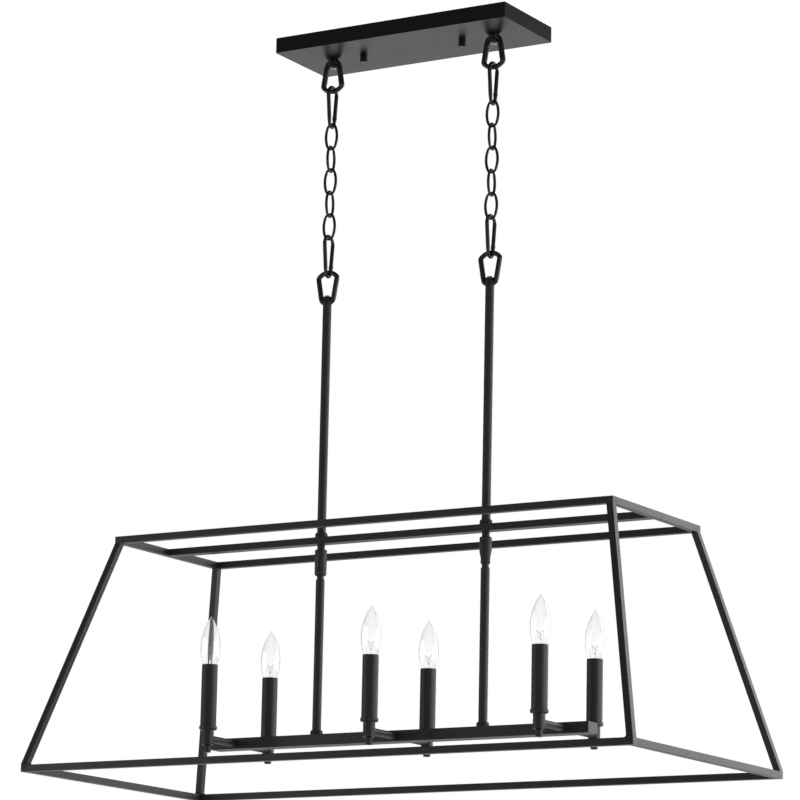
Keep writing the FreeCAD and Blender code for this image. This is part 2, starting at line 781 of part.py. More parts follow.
def make_lower_stem(side, sign):
    """Pipe from the coupling down to the candle bar, with a neck above and a spigot below."""
    outer = f"{S('stem_diameter')} / 2"
    bore = f"{S('spigot_diameter')} / 2 - {S('sleeve_wall')}"
    neck = f"{S('neck_diameter')} / 2"
    spigot = f"{S('spigot_diameter')} / 2"
    top = S("nipple_engagement")
    shoulder = f"-{S('neck_reveal')}"
    foot = (
        f"-({S('candle_bar_drop')} - {S('centre_bar_height')} - {S('nipple_reveal')}"
        f" - {S('coupling_length')})"
    )
    end = f"{foot} - {S('candle_bar_height')} / 2"
    corners = [
        (bore, top), (neck, top), (neck, shoulder), (outer, shoulder),
        (outer, foot), (spigot, foot), (spigot, end), (bore, end),
    ]
    keep(turned(f"lower_stem_{side}", corners, Vector(sign * half_hang, 0, coupling_bottom)))


# ---- cage ----------------------------------------------------------------------------------


def make_bar(label, along, length, depth, height, middle):
    """A straight rectangular bar along X or Y, with its top face centred on middle."""
    turn = Rotation(Vector(0, 0, 1), 90) if along == "y" else Rotation()
    body = new_body(label, middle, turn)
    outline = new_sketch(body, "plan")
    draw_rectangle(
        outline, f"-({length}) / 2", f"({length}) / 2", f"-({depth}) / 2", f"({depth}) / 2"
    )
    pad(body, outline, height, "bar", reverse=True)
    return body


def make_top_frame():
    """Rectangle of square bar with the deeper centre bar along its middle."""
    side = S("bar_side")
    half_width = (value(S("cage_top_width")) - value(side)) / 2
    half_length = (value(S("cage_top_length")) - value(side)) / 2
    for label, sign in (("front", -1), ("back", 1)):
        middle = Vector(0, sign * half_width, cage_top)
        keep(make_bar(f"top_rail_{label}", "x", S("cage_top_length"), side, side, middle))
    for label, sign in SIDES:
        middle = Vector(sign * half_length, 0, cage_top)
        between = f"{S('cage_top_width')} - 2 * {side}"
        keep(make_bar(f"top_rail_{label}", "y", between, side, side, middle))
    between = f"{S('cage_top_length')} - 2 * {side}"
    body = make_bar(
        "top_centre_bar", "x", between, S("centre_bar_depth"), S("centre_bar_height"),
        Vector(0, 0, cage_top),
    )
    holes = new_sketch(body, "nipple_holes")
    for label, sign in SIDES:
        draw_circle(
            holes, f"{sign} * {S('hang_spacing')} / 2", "0",
            f"{S('nipple_diameter')} + 2 * {S('slip_gap')}", f"hole_{label}",
        )
    pocket(body, holes, S("centre_bar_height"), "drilling")
    keep(body)


def add_fillet_web(body, role, sign, across_sign, run, across_run, rise, name):
    """The rounded inner angle between a leg and one of the stubs at its foot."""
    side = value(S("bar_side"))
    radius = value(S("foot_fillet"))
    lean = math.atan2(abs(value(run)), value(rise))
    reach = radius / math.tan((math.pi / 2 - lean) / 2)
    tilt = abs(value(across_run)) / value(rise)
    inset = tilt * (reach * math.cos(lean))
    centre = Vector(side + reach, side + radius, 0)
    on_stub = Vector(side + reach, side, 0)
    on_leg = Vector(side + reach * math.sin(lean), side + reach * math.cos(lean), 0)
    buried = side / 4
    corner = Vector(side - buried, side - buried, 0)
    below = Vector(on_stub.x, corner.y, 0)
    behind = Vector(corner.x, on_leg.y, 0)
    if sign > 0:
        start, end = -math.pi / 2, lean
    else:
        start, end = math.pi - lean, 3 * math.pi / 2
    flip = lambda point: Vector(-sign * point.x, point.y, 0)
    outward = across_sign if role == "XZ_Plane" else -across_sign
    # the plane's normal is -Y for XZ and +X for YZ; the web runs inwards from the outer face
    web = new_sketch(body, name, role)
    web.AttachmentOffset = Placement(Vector(0, 0, outward * inset), Rotation())
    draw_run(web, [
        arc(flip(centre), radius, start, end),
        Part.LineSegment(flip(on_leg), flip(behind)),
        Part.LineSegment(flip(behind), flip(corner)),
        Part.LineSegment(flip(corner), flip(below)),
        Part.LineSegment(flip(below), flip(on_stub)),
    ])
    feature = body.newObject("PartDesign::Pad", f"{name}_web")
    feature.Profile = web
    feature.Length = side - inset
    feature.Reversed = outward < 0


def make_leg(label, x_sign, y_sign):
    """A slanting leg that stands on its own bottom corner, with filleted inner angles."""
    corner = Vector(
        x_sign * value(S("cage_bottom_length")) / 2, y_sign * value(S("cage_bottom_width")) / 2,
        cage_bottom,
    )
    body = new_body(label, corner)
    side = S("bar_side")
    block_x = f"{-x_sign} * {side}"
    block_y = f"{-y_sign} * {side}"
    stub_x = f"{-x_sign} * ({side} + {S('foot_length')})"
    stub_y = f"{-y_sign} * ({side} + {S('foot_length')})"
    foot = new_sketch(body, "foot")
    draw_polygon(foot, [
        ("0", "0"), (stub_x, "0"), (stub_x, block_y), (block_x, block_y),
        (block_x, stub_y), ("0", stub_y),
    ])
    pad(body, foot, side, "corner")
    square = new_sketch(body, "square", "XY_Plane", side)
    draw_rectangle(square, "0", block_x, "0", block_y)
    rise = f"{S('cage_height')} - 2 * {side}"
    slant = pad(body, square, rise, "slanting_bar")
    slant.UseCustomVector = True
    slant.AlongSketchNormal = True
    run_x = f"{-x_sign} * ({S('cage_bottom_length')} - {S('cage_top_length')}) / 2"
    run_y = f"{-y_sign} * ({S('cage_bottom_width')} - {S('cage_top_width')}) / 2"
    slant.Direction = Vector(value(run_x), value(run_y), value(rise))
    slant.setExpression("Direction.x", run_x)
    slant.setExpression("Direction.y", run_y)
    slant.setExpression("Direction.z", rise)
    add_fillet_web(body, "XZ_Plane", x_sign, y_sign, run_x, run_y, rise, "fillet_along_x")
    add_fillet_web(body, "YZ_Plane", y_sign, x_sign, run_y, run_x, rise, "fillet_along_y")
    doc.recompute()
    level = value(side)

    def outer_upright(edge, middle):
        return Vector(middle.x, middle.y, 0).Length < 1e-3 and middle.z < level

    round_edges(body, edges_where(body, outer_upright), S("corner_round"), "outer_corner")
    return keep(body)


def make_bottom_frame():
    """Four bottom rails between the legs' corners."""
    side = S("bar_side")
    ends = f"2 * ({side} + {S('foot_length')})"
    level = cage_bottom + value(side)
    half_width = (value(S("cage_bottom_width")) - value(side)) / 2
    half_length = (value(S("cage_bottom_length")) - value(side)) / 2
    for label, sign in (("front", -1), ("back", 1)):
        length = f"{S('cage_bottom_length')} - {ends}"
        middle = Vector(0, sign * half_width, level)
        keep(make_bar(f"bottom_rail_{label}", "x", length, side, side, middle))
    for label, sign in SIDES:
        length = f"{S('cage_bottom_width')} - {ends}"
        middle = Vector(sign * half_length, 0, level)
        keep(make_bar(f"bottom_rail_{label}", "y", length, side, side, middle))


# ---- candles -------------------------------------------------------------------------------


def candle_stations():
    """Candle number, X, and the side of the bar it stands on, numbered front then back."""
    number = 0
    for column in (-1, 0, 1):
        for row in (-1, 1):
            number += 1
            yield number, column * value(S("candle_pitch")), row


def make_candle_bar():
    """Solid-looking rectangular bar that carries the six arms."""
    body = make_bar(
        "candle_bar", "x", S("candle_bar_length"), S("candle_bar_depth"), S("candle_bar_height"),
        Vector(0, 0, candle_bar_top),
    )
    holes = new_sketch(body, "spigot_holes")
    for label, sign in SIDES:
        draw_circle(
            holes, f"{sign} * {S('hang_spacing')} / 2", "0",
            f"{S('spigot_diameter')} + 2 * {S('slip_gap')}", f"hole_{label}",
        )
    pocket(body, holes, f"{S('candle_bar_height')} / 2 + {S('hole_gap')}", "drilling")
    return keep(body)


def make_candle_arms():
    """Six round arms from the bar's faces into the cups."""
    length = f"{S('candle_reach')} - {S('candle_bar_depth')} / 2 - {S('arm_seat')}"
    arms = []
    for number, x, row in candle_stations():
        at = Vector(x, row * value(S("candle_bar_depth")) / 2, arm_level)
        body = new_body(f"candle_arm_{number}", at, Rotation(Vector(1, 0, 0), -90 * row))
        rod = new_sketch(body, "rod")
        draw_circle(rod, "0", "0", S("arm_diameter"))
        pad(body, rod, length, "arm")
        arms.append(body)
    return group("candle_arms", arms)


def make_arm_ring_nuts():
    """Round nuts that lock the arms against the candle bar."""
    inner = f"{S('arm_diameter')} / 2 + {S('slip_gap')}"
    outer = f"{S('ring_nut_diameter')} / 2"
    length = S("ring_nut_length")
    ease = f"{S('ring_nut_length')} / 5"
    corners = [
        (inner, "0"), (outer, "0"), (outer, f"{length} - {ease}"),
        (f"{outer} - {ease}", length), (inner, length),
    ]
    nuts = []
    for number, x, row in candle_stations():
        at = Vector(x, row * value(S("candle_bar_depth")) / 2, arm_level)
        turn = Rotation(Vector(1, 0, 0), -90 * row)
        nuts.append(turned(f"arm_ring_nut_{number}", corners, at, turn))
    return group("arm_ring_nuts", nuts)


def make_candle_cups():
    """Six turned cups: a column bored for the arm, under a shallow dish that holds the sleeve."""
    column = f"{S('cup_diameter')} / 2"
    bore = f"{S('nipple_tube_diameter')} / 2 + {S('slip_gap')}"
    dish = f"{S('dish_diameter')} / 2"
    well = f"{S('sleeve_diameter')} / 2 + {S('slip_gap')}"
    top = S("cup_above_arm")
    rounding = S("dish_round")
    corners = [
        (bore, f"-{S('cup_below_arm')}"), (column, f"-{S('cup_below_arm')}"), (column, top),
        (f"{dish} - {rounding}", top), (dish, f"{top} + {rounding}"),
        (dish, f"{top} + {S('dish_height')}"), (well, f"{top} + {S('dish_height')}"),
        (well, f"{top} + {S('dish_floor')}"), (bore, f"{top} + {S('dish_floor')}"),
    ]
    cups = []
    for number, x, row in candle_stations():
        at = Vector(x, row * value(S("candle_reach")), arm_level)
        facing_bar = Rotation(Vector(0, 0, 1), 180) if row < 0 else Rotation()
        body = turned(f"candle_cup_{number}", corners, at, facing_bar)
        seat = new_sketch(body, "arm_seat", "XZ_Plane", S("arm_seat"))
        draw_circle(seat, "0", "0", f"{S('arm_diameter')} + 2 * {S('slip_gap')}")
        pocket(body, seat, S("cup_diameter"), "arm_bore", reverse=True)
        cups.append(body)
    return group("candle_cups", cups)


def make_cup_finials():
    """Barrel finials that close the cups from below."""
    outer = f"{S('finial_diameter')} / 2"
    ease = S("finial_chamfer")
    bottom = f"-{S('finial_length')}"
    corners = [
        ("0", bottom), (f"{outer} - {ease}", bottom), (outer, f"{bottom} + {ease}"),
        (outer, "0"), ("0", "0"),
    ]
    finials = []
    for number, x, row in candle_stations():
        at = Vector(x, row * value(S("candle_reach")), cup_bottom)
        finials.append(turned(f"cup_finial_{number}", corners, at))
    return group("cup_finials", finials)


def make_socket_nipples():
    """Threaded tubes from the finials up through the cups into the lamp holders."""
    outer = f"{S('nipple_tube_diameter')} / 2"
    inner = f"{S('nipple_tube_bore')} / 2"
    length = (
        f"{S('cup_below_arm')} + {S('cup_above_arm')} + {S('dish_floor')} + {S('sleeve_length')}"
        f" - {S('socket_recess')} - {S('socket_length')} + {S('socket_seat')}"
    )
    corners = [(inner, "0"), (outer, "0"), (outer, length), (inner, length)]
    tubes = []
    for number, x, row in candle_stations():
        at = Vector(x, row * value(S("candle_reach")), cup_bottom)
        tubes.append(turned(f"socket_nipple_{number}", corners, at))
    return group("socket_nipples", tubes)


def make_lamp_sockets():
    """Candelabra lamp holders inside the sleeves, open upwards for the lamp base."""
    outer = f"{S('socket_diameter')} / 2"
    well = f"{S('base_diameter')} / 2 + {S('hole_gap')}"
    seat = f"{S('nipple_tube_diameter')} / 2 + {S('slip_gap')}"
    length = S("socket_length")
    depth = f"{length} - {S('base_length')} - {S('hole_gap')}"
    corners = [
        (seat, "0"), (outer, "0"), (outer, length), (well, length), (well, depth),
        ("0", depth), ("0", S("socket_seat")), (seat, S("socket_seat")),
    ]
    bottom = sleeve_top - value(S("socket_recess")) - value(length)
    sockets = []
    for number, x, row in candle_stations():
        at = Vector(x, row * value(S("candle_reach")), bottom)
        sockets.append(turned(f"lamp_socket_{number}", corners, at))
    return group("lamp_sockets", sockets)


def make_candle_sleeves():
    """Plain tube sleeves that stand in the dishes."""
    outer = f"{S('sleeve_diameter')} / 2"
    inner = f"{outer} - {S('sleeve_wall')}"
    corners = [
        (inner, "0"), (outer, "0"), (outer, S("sleeve_length")), (inner, S("sleeve_length")),
    ]
    sleeves = []
    for number, x, row in candle_stations():
        at = Vector(x, row * value(S("candle_reach")), sleeve_bottom)
        sleeves.append(turned(f"candle_sleeve_{number}", corners, at))
    return group("candle_sleeves", sleeves)


def make_bulb_bases():
    """Screw shells of the lamps, with the insulator and centre contact at the bottom."""
    outer = f"{S('base_diameter')} / 2"
    contact = f"{S('base_contact_diameter')} / 2"
    length = S("base_length")
    insulator = S("base_insulator")
    inner = f"{outer} - {S('base_wall')}"
    corners = [
        ("0", "0"), (contact, "0"), (outer, insulator), (outer, length),
        (inner, length), (inner, f"{insulator} + {S('base_wall')}"),
        ("0", f"{insulator} + {S('base_wall')}"),
    ]
    bottom = sleeve_top - value(S("socket_recess")) - value(length)
    bases = []
    for number, x, row in candle_stations():
        at = Vector(x, row * value(S("candle_reach")), bottom)
        bases.append(turned(f"bulb_base_{number}", corners, at))
    return group("bulb_bases", bases)


def bulb_outline(inset):
    """Half outline of the lamp glass, from the neck in the base to the tip, set in by a wall."""
    belly = value(S("bulb_diameter")) / 2
    belly_height = value(S("bulb_belly_height"))
    rim = value(S("bulb_rim_diameter")) / 2
    neck = value(S("base_diameter")) / 2 - value(S("base_wall")) - value(S("slip_gap"))
    tip = value(S("bulb_tip_diameter")) / 2
    tip_height = value(S("bulb_reveal")) - value(S("bulb_tip_length"))
    lower = ((belly - rim) ** 2 + belly_height ** 2) / (2 * (belly - rim))
    upper = ((belly - tip) ** 2 + (tip_height - belly_height) ** 2) / (2 * (belly - tip))
    return belly - inset, belly_height, rim - inset, neck - inset, tip, tip_height, lower, upper


def make_bulb_glasses():
    """Clear torpedo lamps: a thin glass shell blown to a pointed tip."""
    wall = value(S("glass_wall"))
    neck_bottom = -value(S("socket_recess")) - value(S("base_length")) / 3
    neck_top = -value(S("socket_recess")) + value(S("slip_gap"))

    def half(inset):
        belly, level, rim, neck, tip, tip_height, lower, upper = bulb_outline(inset)
        lower_centre = Vector(belly - lower, level, 0)
        upper_centre = Vector(belly - upper, level, 0)
        rim_angle = -math.asin(level / lower)
        top_angle = math.acos((upper - belly + tip) / upper)
        top = upper_centre + Vector(math.cos(top_angle), math.sin(top_angle), 0) * upper
        rim_point = lower_centre + Vector(math.cos(rim_angle), math.sin(rim_angle), 0) * lower
        return [
            Part.LineSegment(Vector(neck, neck_bottom, 0), Vector(neck, neck_top, 0)),
            Part.LineSegment(Vector(neck, neck_top, 0), rim_point),
            arc(lower_centre, lower, rim_angle, 0),
            arc(upper_centre, upper, 0, top_angle),
        ], top

    for number, x, row in candle_stations():
        at = Vector(x, row * value(S("candle_reach")), sleeve_top)
        body = new_body(f"bulb_glass_{number}", at)
        profile = new_sketch(body, "profile", "XZ_Plane")
        outer, outer_top = half(0)
        inner, inner_top = half(wall)
        peak = Vector(0, value(S("bulb_reveal")), 0)
        inner_peak = Vector(0, inner_top.y, 0)
        neck_foot = outer[0].StartPoint
        inner_foot = inner[0].StartPoint
        draw_run(profile, outer + inner + [
            Part.LineSegment(outer_top, peak),
            Part.LineSegment(peak, inner_peak),
            Part.LineSegment(inner_peak, inner_top),
            Part.LineSegment(inner_foot, neck_foot),
        ])
        revolve(body, profile, "blown_glass")
        keep(body)


# ---- build, check and write ----------------------------------------------------------------


def build():
    """Make every sub-part, from the ceiling down."""
    make_canopy_pan()
    make_mounting_crossbar()
    make_crossbar_studs()
    make_canopy_nuts()
    make_canopy_loops()
    make_loop_lock_nuts()
    for side, sign in SIDES:
        make_chain(side, sign)
    for side, sign in SIDES:
        at = Vector(sign * half_hang, 0, stem_top + loop_wire / 2)
        make_hang_loop(f"stem_loop_{side}", at, Rotation())
        make_upper_stem(side, sign)
        make_coupling(side, sign)
        make_lower_stem(side, sign)
    make_stem_collars()
    make_set_screws()
    make_top_frame()
    for depth, y_sign in (("front", -1), ("back", 1)):
        for side, x_sign in SIDES:
            make_leg(f"leg_{depth}_{side}", x_sign, y_sign)
    make_bottom_frame()
    make_candle_bar()
    make_candle_arms()
    make_arm_ring_nuts()
    make_candle_cups()
    make_cup_finials()
    make_socket_nipples()
    make_lamp_sockets()
    make_candle_sleeves()
    make_bulb_bases()
    make_bulb_glasses()
    doc.recompute()


def check():
    """Stop if any object failed or any node's shape is empty or invalid."""
    for item in doc.Objects:
        if "Invalid" in item.State or "Error" in item.State:
            raise RuntimeError(f"{item.Label} failed: {item.State}")
    for part in nodes:
        if part.Shape.isNull() or not part.Shape.isValid() or not part.Shape.Solids:
            raise RuntimeError(f"{part.Label} has no valid solid")


def write():
    """Write one file per node."""
    os.makedirs("parts", exist_ok=True)
    for part in nodes:
        part.Shape.exportStep(f"parts/{part.Label}.step")
    print(f"{len(nodes)} nodes written, cage top at {cage_top:.1f} mm")


build()
check()
write()
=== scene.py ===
"""Looks of a linear island pendant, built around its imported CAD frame.

Black powder-coated steel hangs from a flat canopy on two chains, and six clear candle lamps
stand on arms inside an open tapered cage. All positions are in metres in the frame's axes,
and sizes are written in millimetres and turned to metres by MM.
"""

from __future__ import annotations

import logging
import math
from dataclasses import dataclass, field
from enum import Enum
from typing import Any

import bmesh
import bpy
from mathutils import Matrix, Vector

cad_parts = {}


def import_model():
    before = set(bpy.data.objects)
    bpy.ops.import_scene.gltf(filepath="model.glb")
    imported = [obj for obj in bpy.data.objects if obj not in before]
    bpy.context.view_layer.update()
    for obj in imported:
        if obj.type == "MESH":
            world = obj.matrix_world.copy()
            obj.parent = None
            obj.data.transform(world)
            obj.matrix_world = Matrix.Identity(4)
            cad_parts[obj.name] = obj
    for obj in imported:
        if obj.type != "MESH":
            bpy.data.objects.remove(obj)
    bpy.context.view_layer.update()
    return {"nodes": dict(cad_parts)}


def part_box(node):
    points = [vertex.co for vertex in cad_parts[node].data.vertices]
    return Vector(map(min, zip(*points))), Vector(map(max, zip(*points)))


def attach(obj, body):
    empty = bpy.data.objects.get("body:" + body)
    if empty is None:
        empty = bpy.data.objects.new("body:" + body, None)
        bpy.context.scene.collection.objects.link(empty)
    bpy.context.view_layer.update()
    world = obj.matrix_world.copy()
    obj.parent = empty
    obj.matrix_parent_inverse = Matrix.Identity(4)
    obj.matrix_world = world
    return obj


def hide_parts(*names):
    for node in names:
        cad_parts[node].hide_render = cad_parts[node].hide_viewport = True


MM = 0.001
SMOOTH_BELOW = math.radians(40.0)  # turned and swept faces that meet flatter than this look round
CORNER_ABOVE = math.radians(50.0)  # faces of bar and sheet that turn more than this are corners
MERGE_DISTANCE = 1e-6
ON_AXIS = 1e-9  # a turned point nearer to the axis than this is a pole
EASE_SHARE = 0.4  # the most of a short face that the rounding at one end may take
HOLD = 0.15  # how far past a rounding its hold point lies, as a share of the rounding
LOG = logging.getLogger("pendant")

Outline = list[tuple[float, float]]
Line = tuple[tuple[float, float, float], ...]


class Side(Enum):
    """The two ends of the part, along X."""

    LEFT = "left"
    RIGHT = "right"


class Bend(Enum):
    """The forms that a closed wire ring is bent to."""

    LOOP = "loop"
    CONNECTOR = "connector"
    LINK = "link"


class Plane(Enum):
    """The upright plane that a ring lies in."""

    ALONG = "xz"
    ACROSS = "yz"


# ---- small tools --------------------------------------------------------------------------


def linear(hex_colour: str) -> tuple[float, float, float, float]:
    """Turns an sRGB hex colour into linear light.

    Args:
        hex_colour: Six hex digits after a hash sign.

    Returns:
        Red, green, blue and a full alpha, all from 0 to 1.
    """
    channels = [int(hex_colour[i : i + 2], 16) / 255 for i in (1, 3, 5)]
    r, g, b = (c / 12.92 if c <= 0.04045 else ((c + 0.055) / 1.055) ** 2.4 for c in channels)
    return r, g, b, 1.0


def add_node(
    tree: bpy.types.NodeTree,
    kind: str,
    settings: dict[str, Any] | None = None,
    inputs: dict[str | int, Any] | None = None,
) -> bpy.types.Node:
    """Adds one node with its settings, and its inputs set or linked.

    Args:
        tree: The node tree to add it to.
        kind: Blender's name for the kind of node.
        settings: Values of the node's own properties.
        inputs: For each input name or index, a value, or the socket that feeds it.

    Returns:
        The new node.
    """
    node = tree.nodes.new(kind)
    for key, setting in (settings or {}).items():
        setattr(node, key, setting)
    for key, value in (inputs or {}).items():
        if isinstance(value, bpy.types.NodeSocket):
            tree.links.new(value, node.inputs[key])
        else:
            node.inputs[key].default_value = value
    return node


def new_object(name: str, mesh: bpy.types.Mesh) -> bpy.types.Object:
    """Puts a mesh in the scene as an object at the origin.

    Args:
        name: The object's name, which its mesh takes too.
        mesh: The mesh, with its place in its vertices.

    Returns:
        The new object.
    """
    mesh.name = name
    obj = bpy.data.objects.new(name, mesh)
    bpy.context.scene.collection.objects.link(obj)
    return obj


def mesh_from(bm: bmesh.types.BMesh, name: str) -> bpy.types.Mesh:
    """Closes a bmesh into a mesh with outward faces, smooth except over sharp corners.

    Args:
        bm: The bmesh, which is freed.
        name: The mesh's name.

    Returns:
        The finished mesh.
    """
    bmesh.ops.recalc_face_normals(bm, faces=bm.faces)
    mesh = bpy.data.meshes.new(name)
    bm.to_mesh(mesh)
    bm.free()
    soften_shading(mesh)
    return mesh


def soften_shading(mesh: bpy.types.Mesh, angle: float = SMOOTH_BELOW) -> None:
    """Shades a mesh smooth and keeps the edges that turn sharply.

    Args:
        mesh: The mesh.
        angle: The least turn of an edge that stays sharp, in radians.
    """
    mesh.shade_smooth()
    mesh.set_sharp_from_angle(angle=angle)


def keep_flat(obj: bpy.types.Object) -> None:
    """Shades an object smooth over its small roundings and flat over its large faces.

    Args:
        obj: The object, whose mesh is replaced.
    """
    soften_shading(obj.data, CORNER_ABOVE)
    flat = obj.modifiers.new("flat_faces", "WEIGHTED_NORMAL")
    flat.keep_sharp = True
    flat.weight = 100  # the largest face at each point decides
    apply_modifiers(obj)


def evaluated_copy(obj: bpy.types.Object) -> bpy.types.Mesh:
    """Makes a plain mesh of what an object's modifiers give.

    Args:
        obj: The object, which keeps its modifiers.

    Returns:
        The new mesh.
    """
    depsgraph = bpy.context.evaluated_depsgraph_get()
    return bpy.data.meshes.new_from_object(obj.evaluated_get(depsgraph), depsgraph=depsgraph)


def apply_modifiers(obj: bpy.types.Object) -> None:
    """Replaces an object's mesh by what its modifiers make, and takes them off.

    Args:
        obj: The object.
    """
    mesh = evaluated_copy(obj)
    obj.modifiers.clear()
    old = obj.data
    obj.data = mesh
    mesh.name = obj.name
    bpy.data.meshes.remove(old)


def finish_with(mesh: bpy.types.Mesh, material: bpy.types.Material) -> None:
    """Gives a mesh one material.

    Args:
        mesh: The mesh, which loses any material it had.
        material: The material.
    """
    mesh.materials.clear()
    mesh.materials.append(material)


def eased(outline: Outline, ease: float, closed: bool) -> Outline:
    """Rounds the corners of a turned profile, as a tool or a coat of paint leaves them.

    Args:
        outline: Radius and height of each corner, in metres.
        ease: How far from a corner the rounding starts, in metres.
        closed: Whether the last point joins the first.

    Returns:
        The profile with each corner off the axis replaced by a rounding, held by a point on
        each side that keeps the faces beyond it flat to the eye.
    """
    count = len(outline)
    points = [Vector(p) for p in outline]
    made: Outline = []
    for index, point in enumerate(points):
        at_end = not closed and index in (0, count - 1)
        if at_end or point.x < ON_AXIS:
            made.append(tuple(point))
            continue
        back = points[index - 1] - point
        ahead = points[(index + 1) % count] - point
        reach = min(ease, EASE_SHARE * back.length, EASE_SHARE * ahead.length)
        before, after = back.normalized() * reach, ahead.normalized() * reach
        first, last = point + before, point + after
        middle = (first + last) / 4 + point / 2
        made.append(tuple(first + before * HOLD))
        made += [tuple(first), tuple(middle), tuple(last)]
        made.append(tuple(last + after * HOLD))
    return made


def turned_mesh(name: str, outline: Outline, closed: bool, segments: int = 64) -> bpy.types.Mesh:
    """Turns a profile about the Z axis.

    Args:
        name: The mesh's name.
        outline: Radius and height of each point, in metres; a radius of 0 is a pole.
        closed: Whether the last point joins the first, as on a tube's wall.
        segments: Faces round the axis.

    Returns:
        A closed mesh on the Z axis.
    """
    bm = bmesh.new()
    angles = [2 * math.pi * i / segments for i in range(segments)]
    rings = []
    for radius, height in outline:
        if radius < ON_AXIS:
            rings.append([bm.verts.new((0, 0, height))])
        else:
            rings.append(
                [bm.verts.new((radius * math.cos(a), radius * math.sin(a), height)) for a in angles]
            )
    following = rings[1:] + (rings[:1] if closed else [])
    for lower, upper in zip(rings, following):
        for i in range(segments):
            j = (i + 1) % segments
            corners = [lower[i % len(lower)], lower[j % len(lower)]]
            corners += [upper[j % len(upper)], upper[i % len(upper)]]
            unique = list(dict.fromkeys(corners))
            if len(unique) > 2:
                bm.faces.new(unique)
    return mesh_from(bm, name)


# ---- geometry node trees ------------------------------------------------------------------


class GeometryRecipe:
    """A geometry node tree with named inputs that ends in one material."""

    def __init__(
        self, name: str, sizes: tuple[str, ...] = (), objects: tuple[str, ...] = ()
    ) -> None:
        """Makes the tree's interface.

        Args:
            name: The tree's name.
            sizes: Names of its number inputs.
            objects: Names of its object inputs.
        """
        self.tree = bpy.data.node_groups.new(name, "GeometryNodeTree")
        interface = self.tree.interface
        interface.new_socket("Geometry", in_out="INPUT", socket_type="NodeSocketGeometry")
        for size in sizes:
            interface.new_socket(size, in_out="INPUT", socket_type="NodeSocketFloat")
        for item in objects:
            interface.new_socket(item, in_out="INPUT", socket_type="NodeSocketObject")
        interface.new_socket("Finish", in_out="INPUT", socket_type="NodeSocketMaterial")
        interface.new_socket("Geometry", in_out="OUTPUT", socket_type="NodeSocketGeometry")
        self.given = add_node(self.tree, "NodeGroupInput").outputs

    def node(
        self,
        kind: str,
        settings: dict[str, Any] | None = None,
        inputs: dict[str | int, Any] | None = None,
    ) -> bpy.types.bpy_prop_collection:
        """Adds a node to the tree.

        Args:
            kind: Blender's name for the kind of node.
            settings: Values of the node's own properties.
            inputs: For each input name or index, a value, or the socket that feeds it.

        Returns:
            The node's outputs.
        """
        return add_node(self.tree, kind, settings, inputs).outputs

    def end(self, geometry: bpy.types.NodeSocket) -> None:
        """Turns copies into plain geometry with the finish on it, as the tree's result.

        Args:
            geometry: The socket that gives the shape.
        """
        real = self.node("GeometryNodeRealizeInstances", inputs={"Geometry": geometry})
        finished = self.node(
            "GeometryNodeSetMaterial",
            inputs={"Geometry": real["Geometry"], "Material": self.given["Finish"]},
        )
        add_node(self.tree, "NodeGroupOutput", inputs={"Geometry": finished["Geometry"]})

    def run(self, obj: bpy.types.Object, values: dict[str, Any]) -> None:
        """Runs the tree on an object and keeps the result as its plain mesh.

        Args:
            obj: The object, whose mesh is the tree's geometry.
            values: A value for each named input.
        """
        modifier = obj.modifiers.new(self.tree.name, "NODES")
        modifier.node_group = self.tree
        for item in self.tree.interface.items_tree:
            if item.in_out == "INPUT" and item.name in values:
                modifier[item.identifier] = values[item.name]
        apply_modifiers(obj)
        soften_shading(obj.data)


class BentWire(GeometryRecipe):
    """Sweeps a round wire along a line of points, thicker where the points say so."""

    def __init__(self) -> None:
        """Builds the tree."""
        super().__init__("bent_wire", sizes=("Wire Diameter", "Sides"))
        swell = self.node(
            "GeometryNodeInputNamedAttribute", {"data_type": "FLOAT"}, {"Name": "swell"}
        )
        line = self.node("GeometryNodeMeshToCurve", inputs={"Mesh": self.given["Geometry"]})
        radius = self.node(
            "ShaderNodeMath",
            {"operation": "MULTIPLY"},
            {0: self.given["Wire Diameter"], 1: 0.5},
        )
        section = self.node(
            "GeometryNodeCurvePrimitiveCircle",
            inputs={"Resolution": self.given["Sides"], "Radius": radius["Value"]},
        )
        swept = self.node(
            "GeometryNodeCurveToMesh",
            inputs={
                "Curve": line["Curve"],
                "Profile Curve": section["Curve"],
                "Scale": swell["Attribute"],
                "Fill Caps": True,
            },
        )
        self.end(swept["Mesh"])


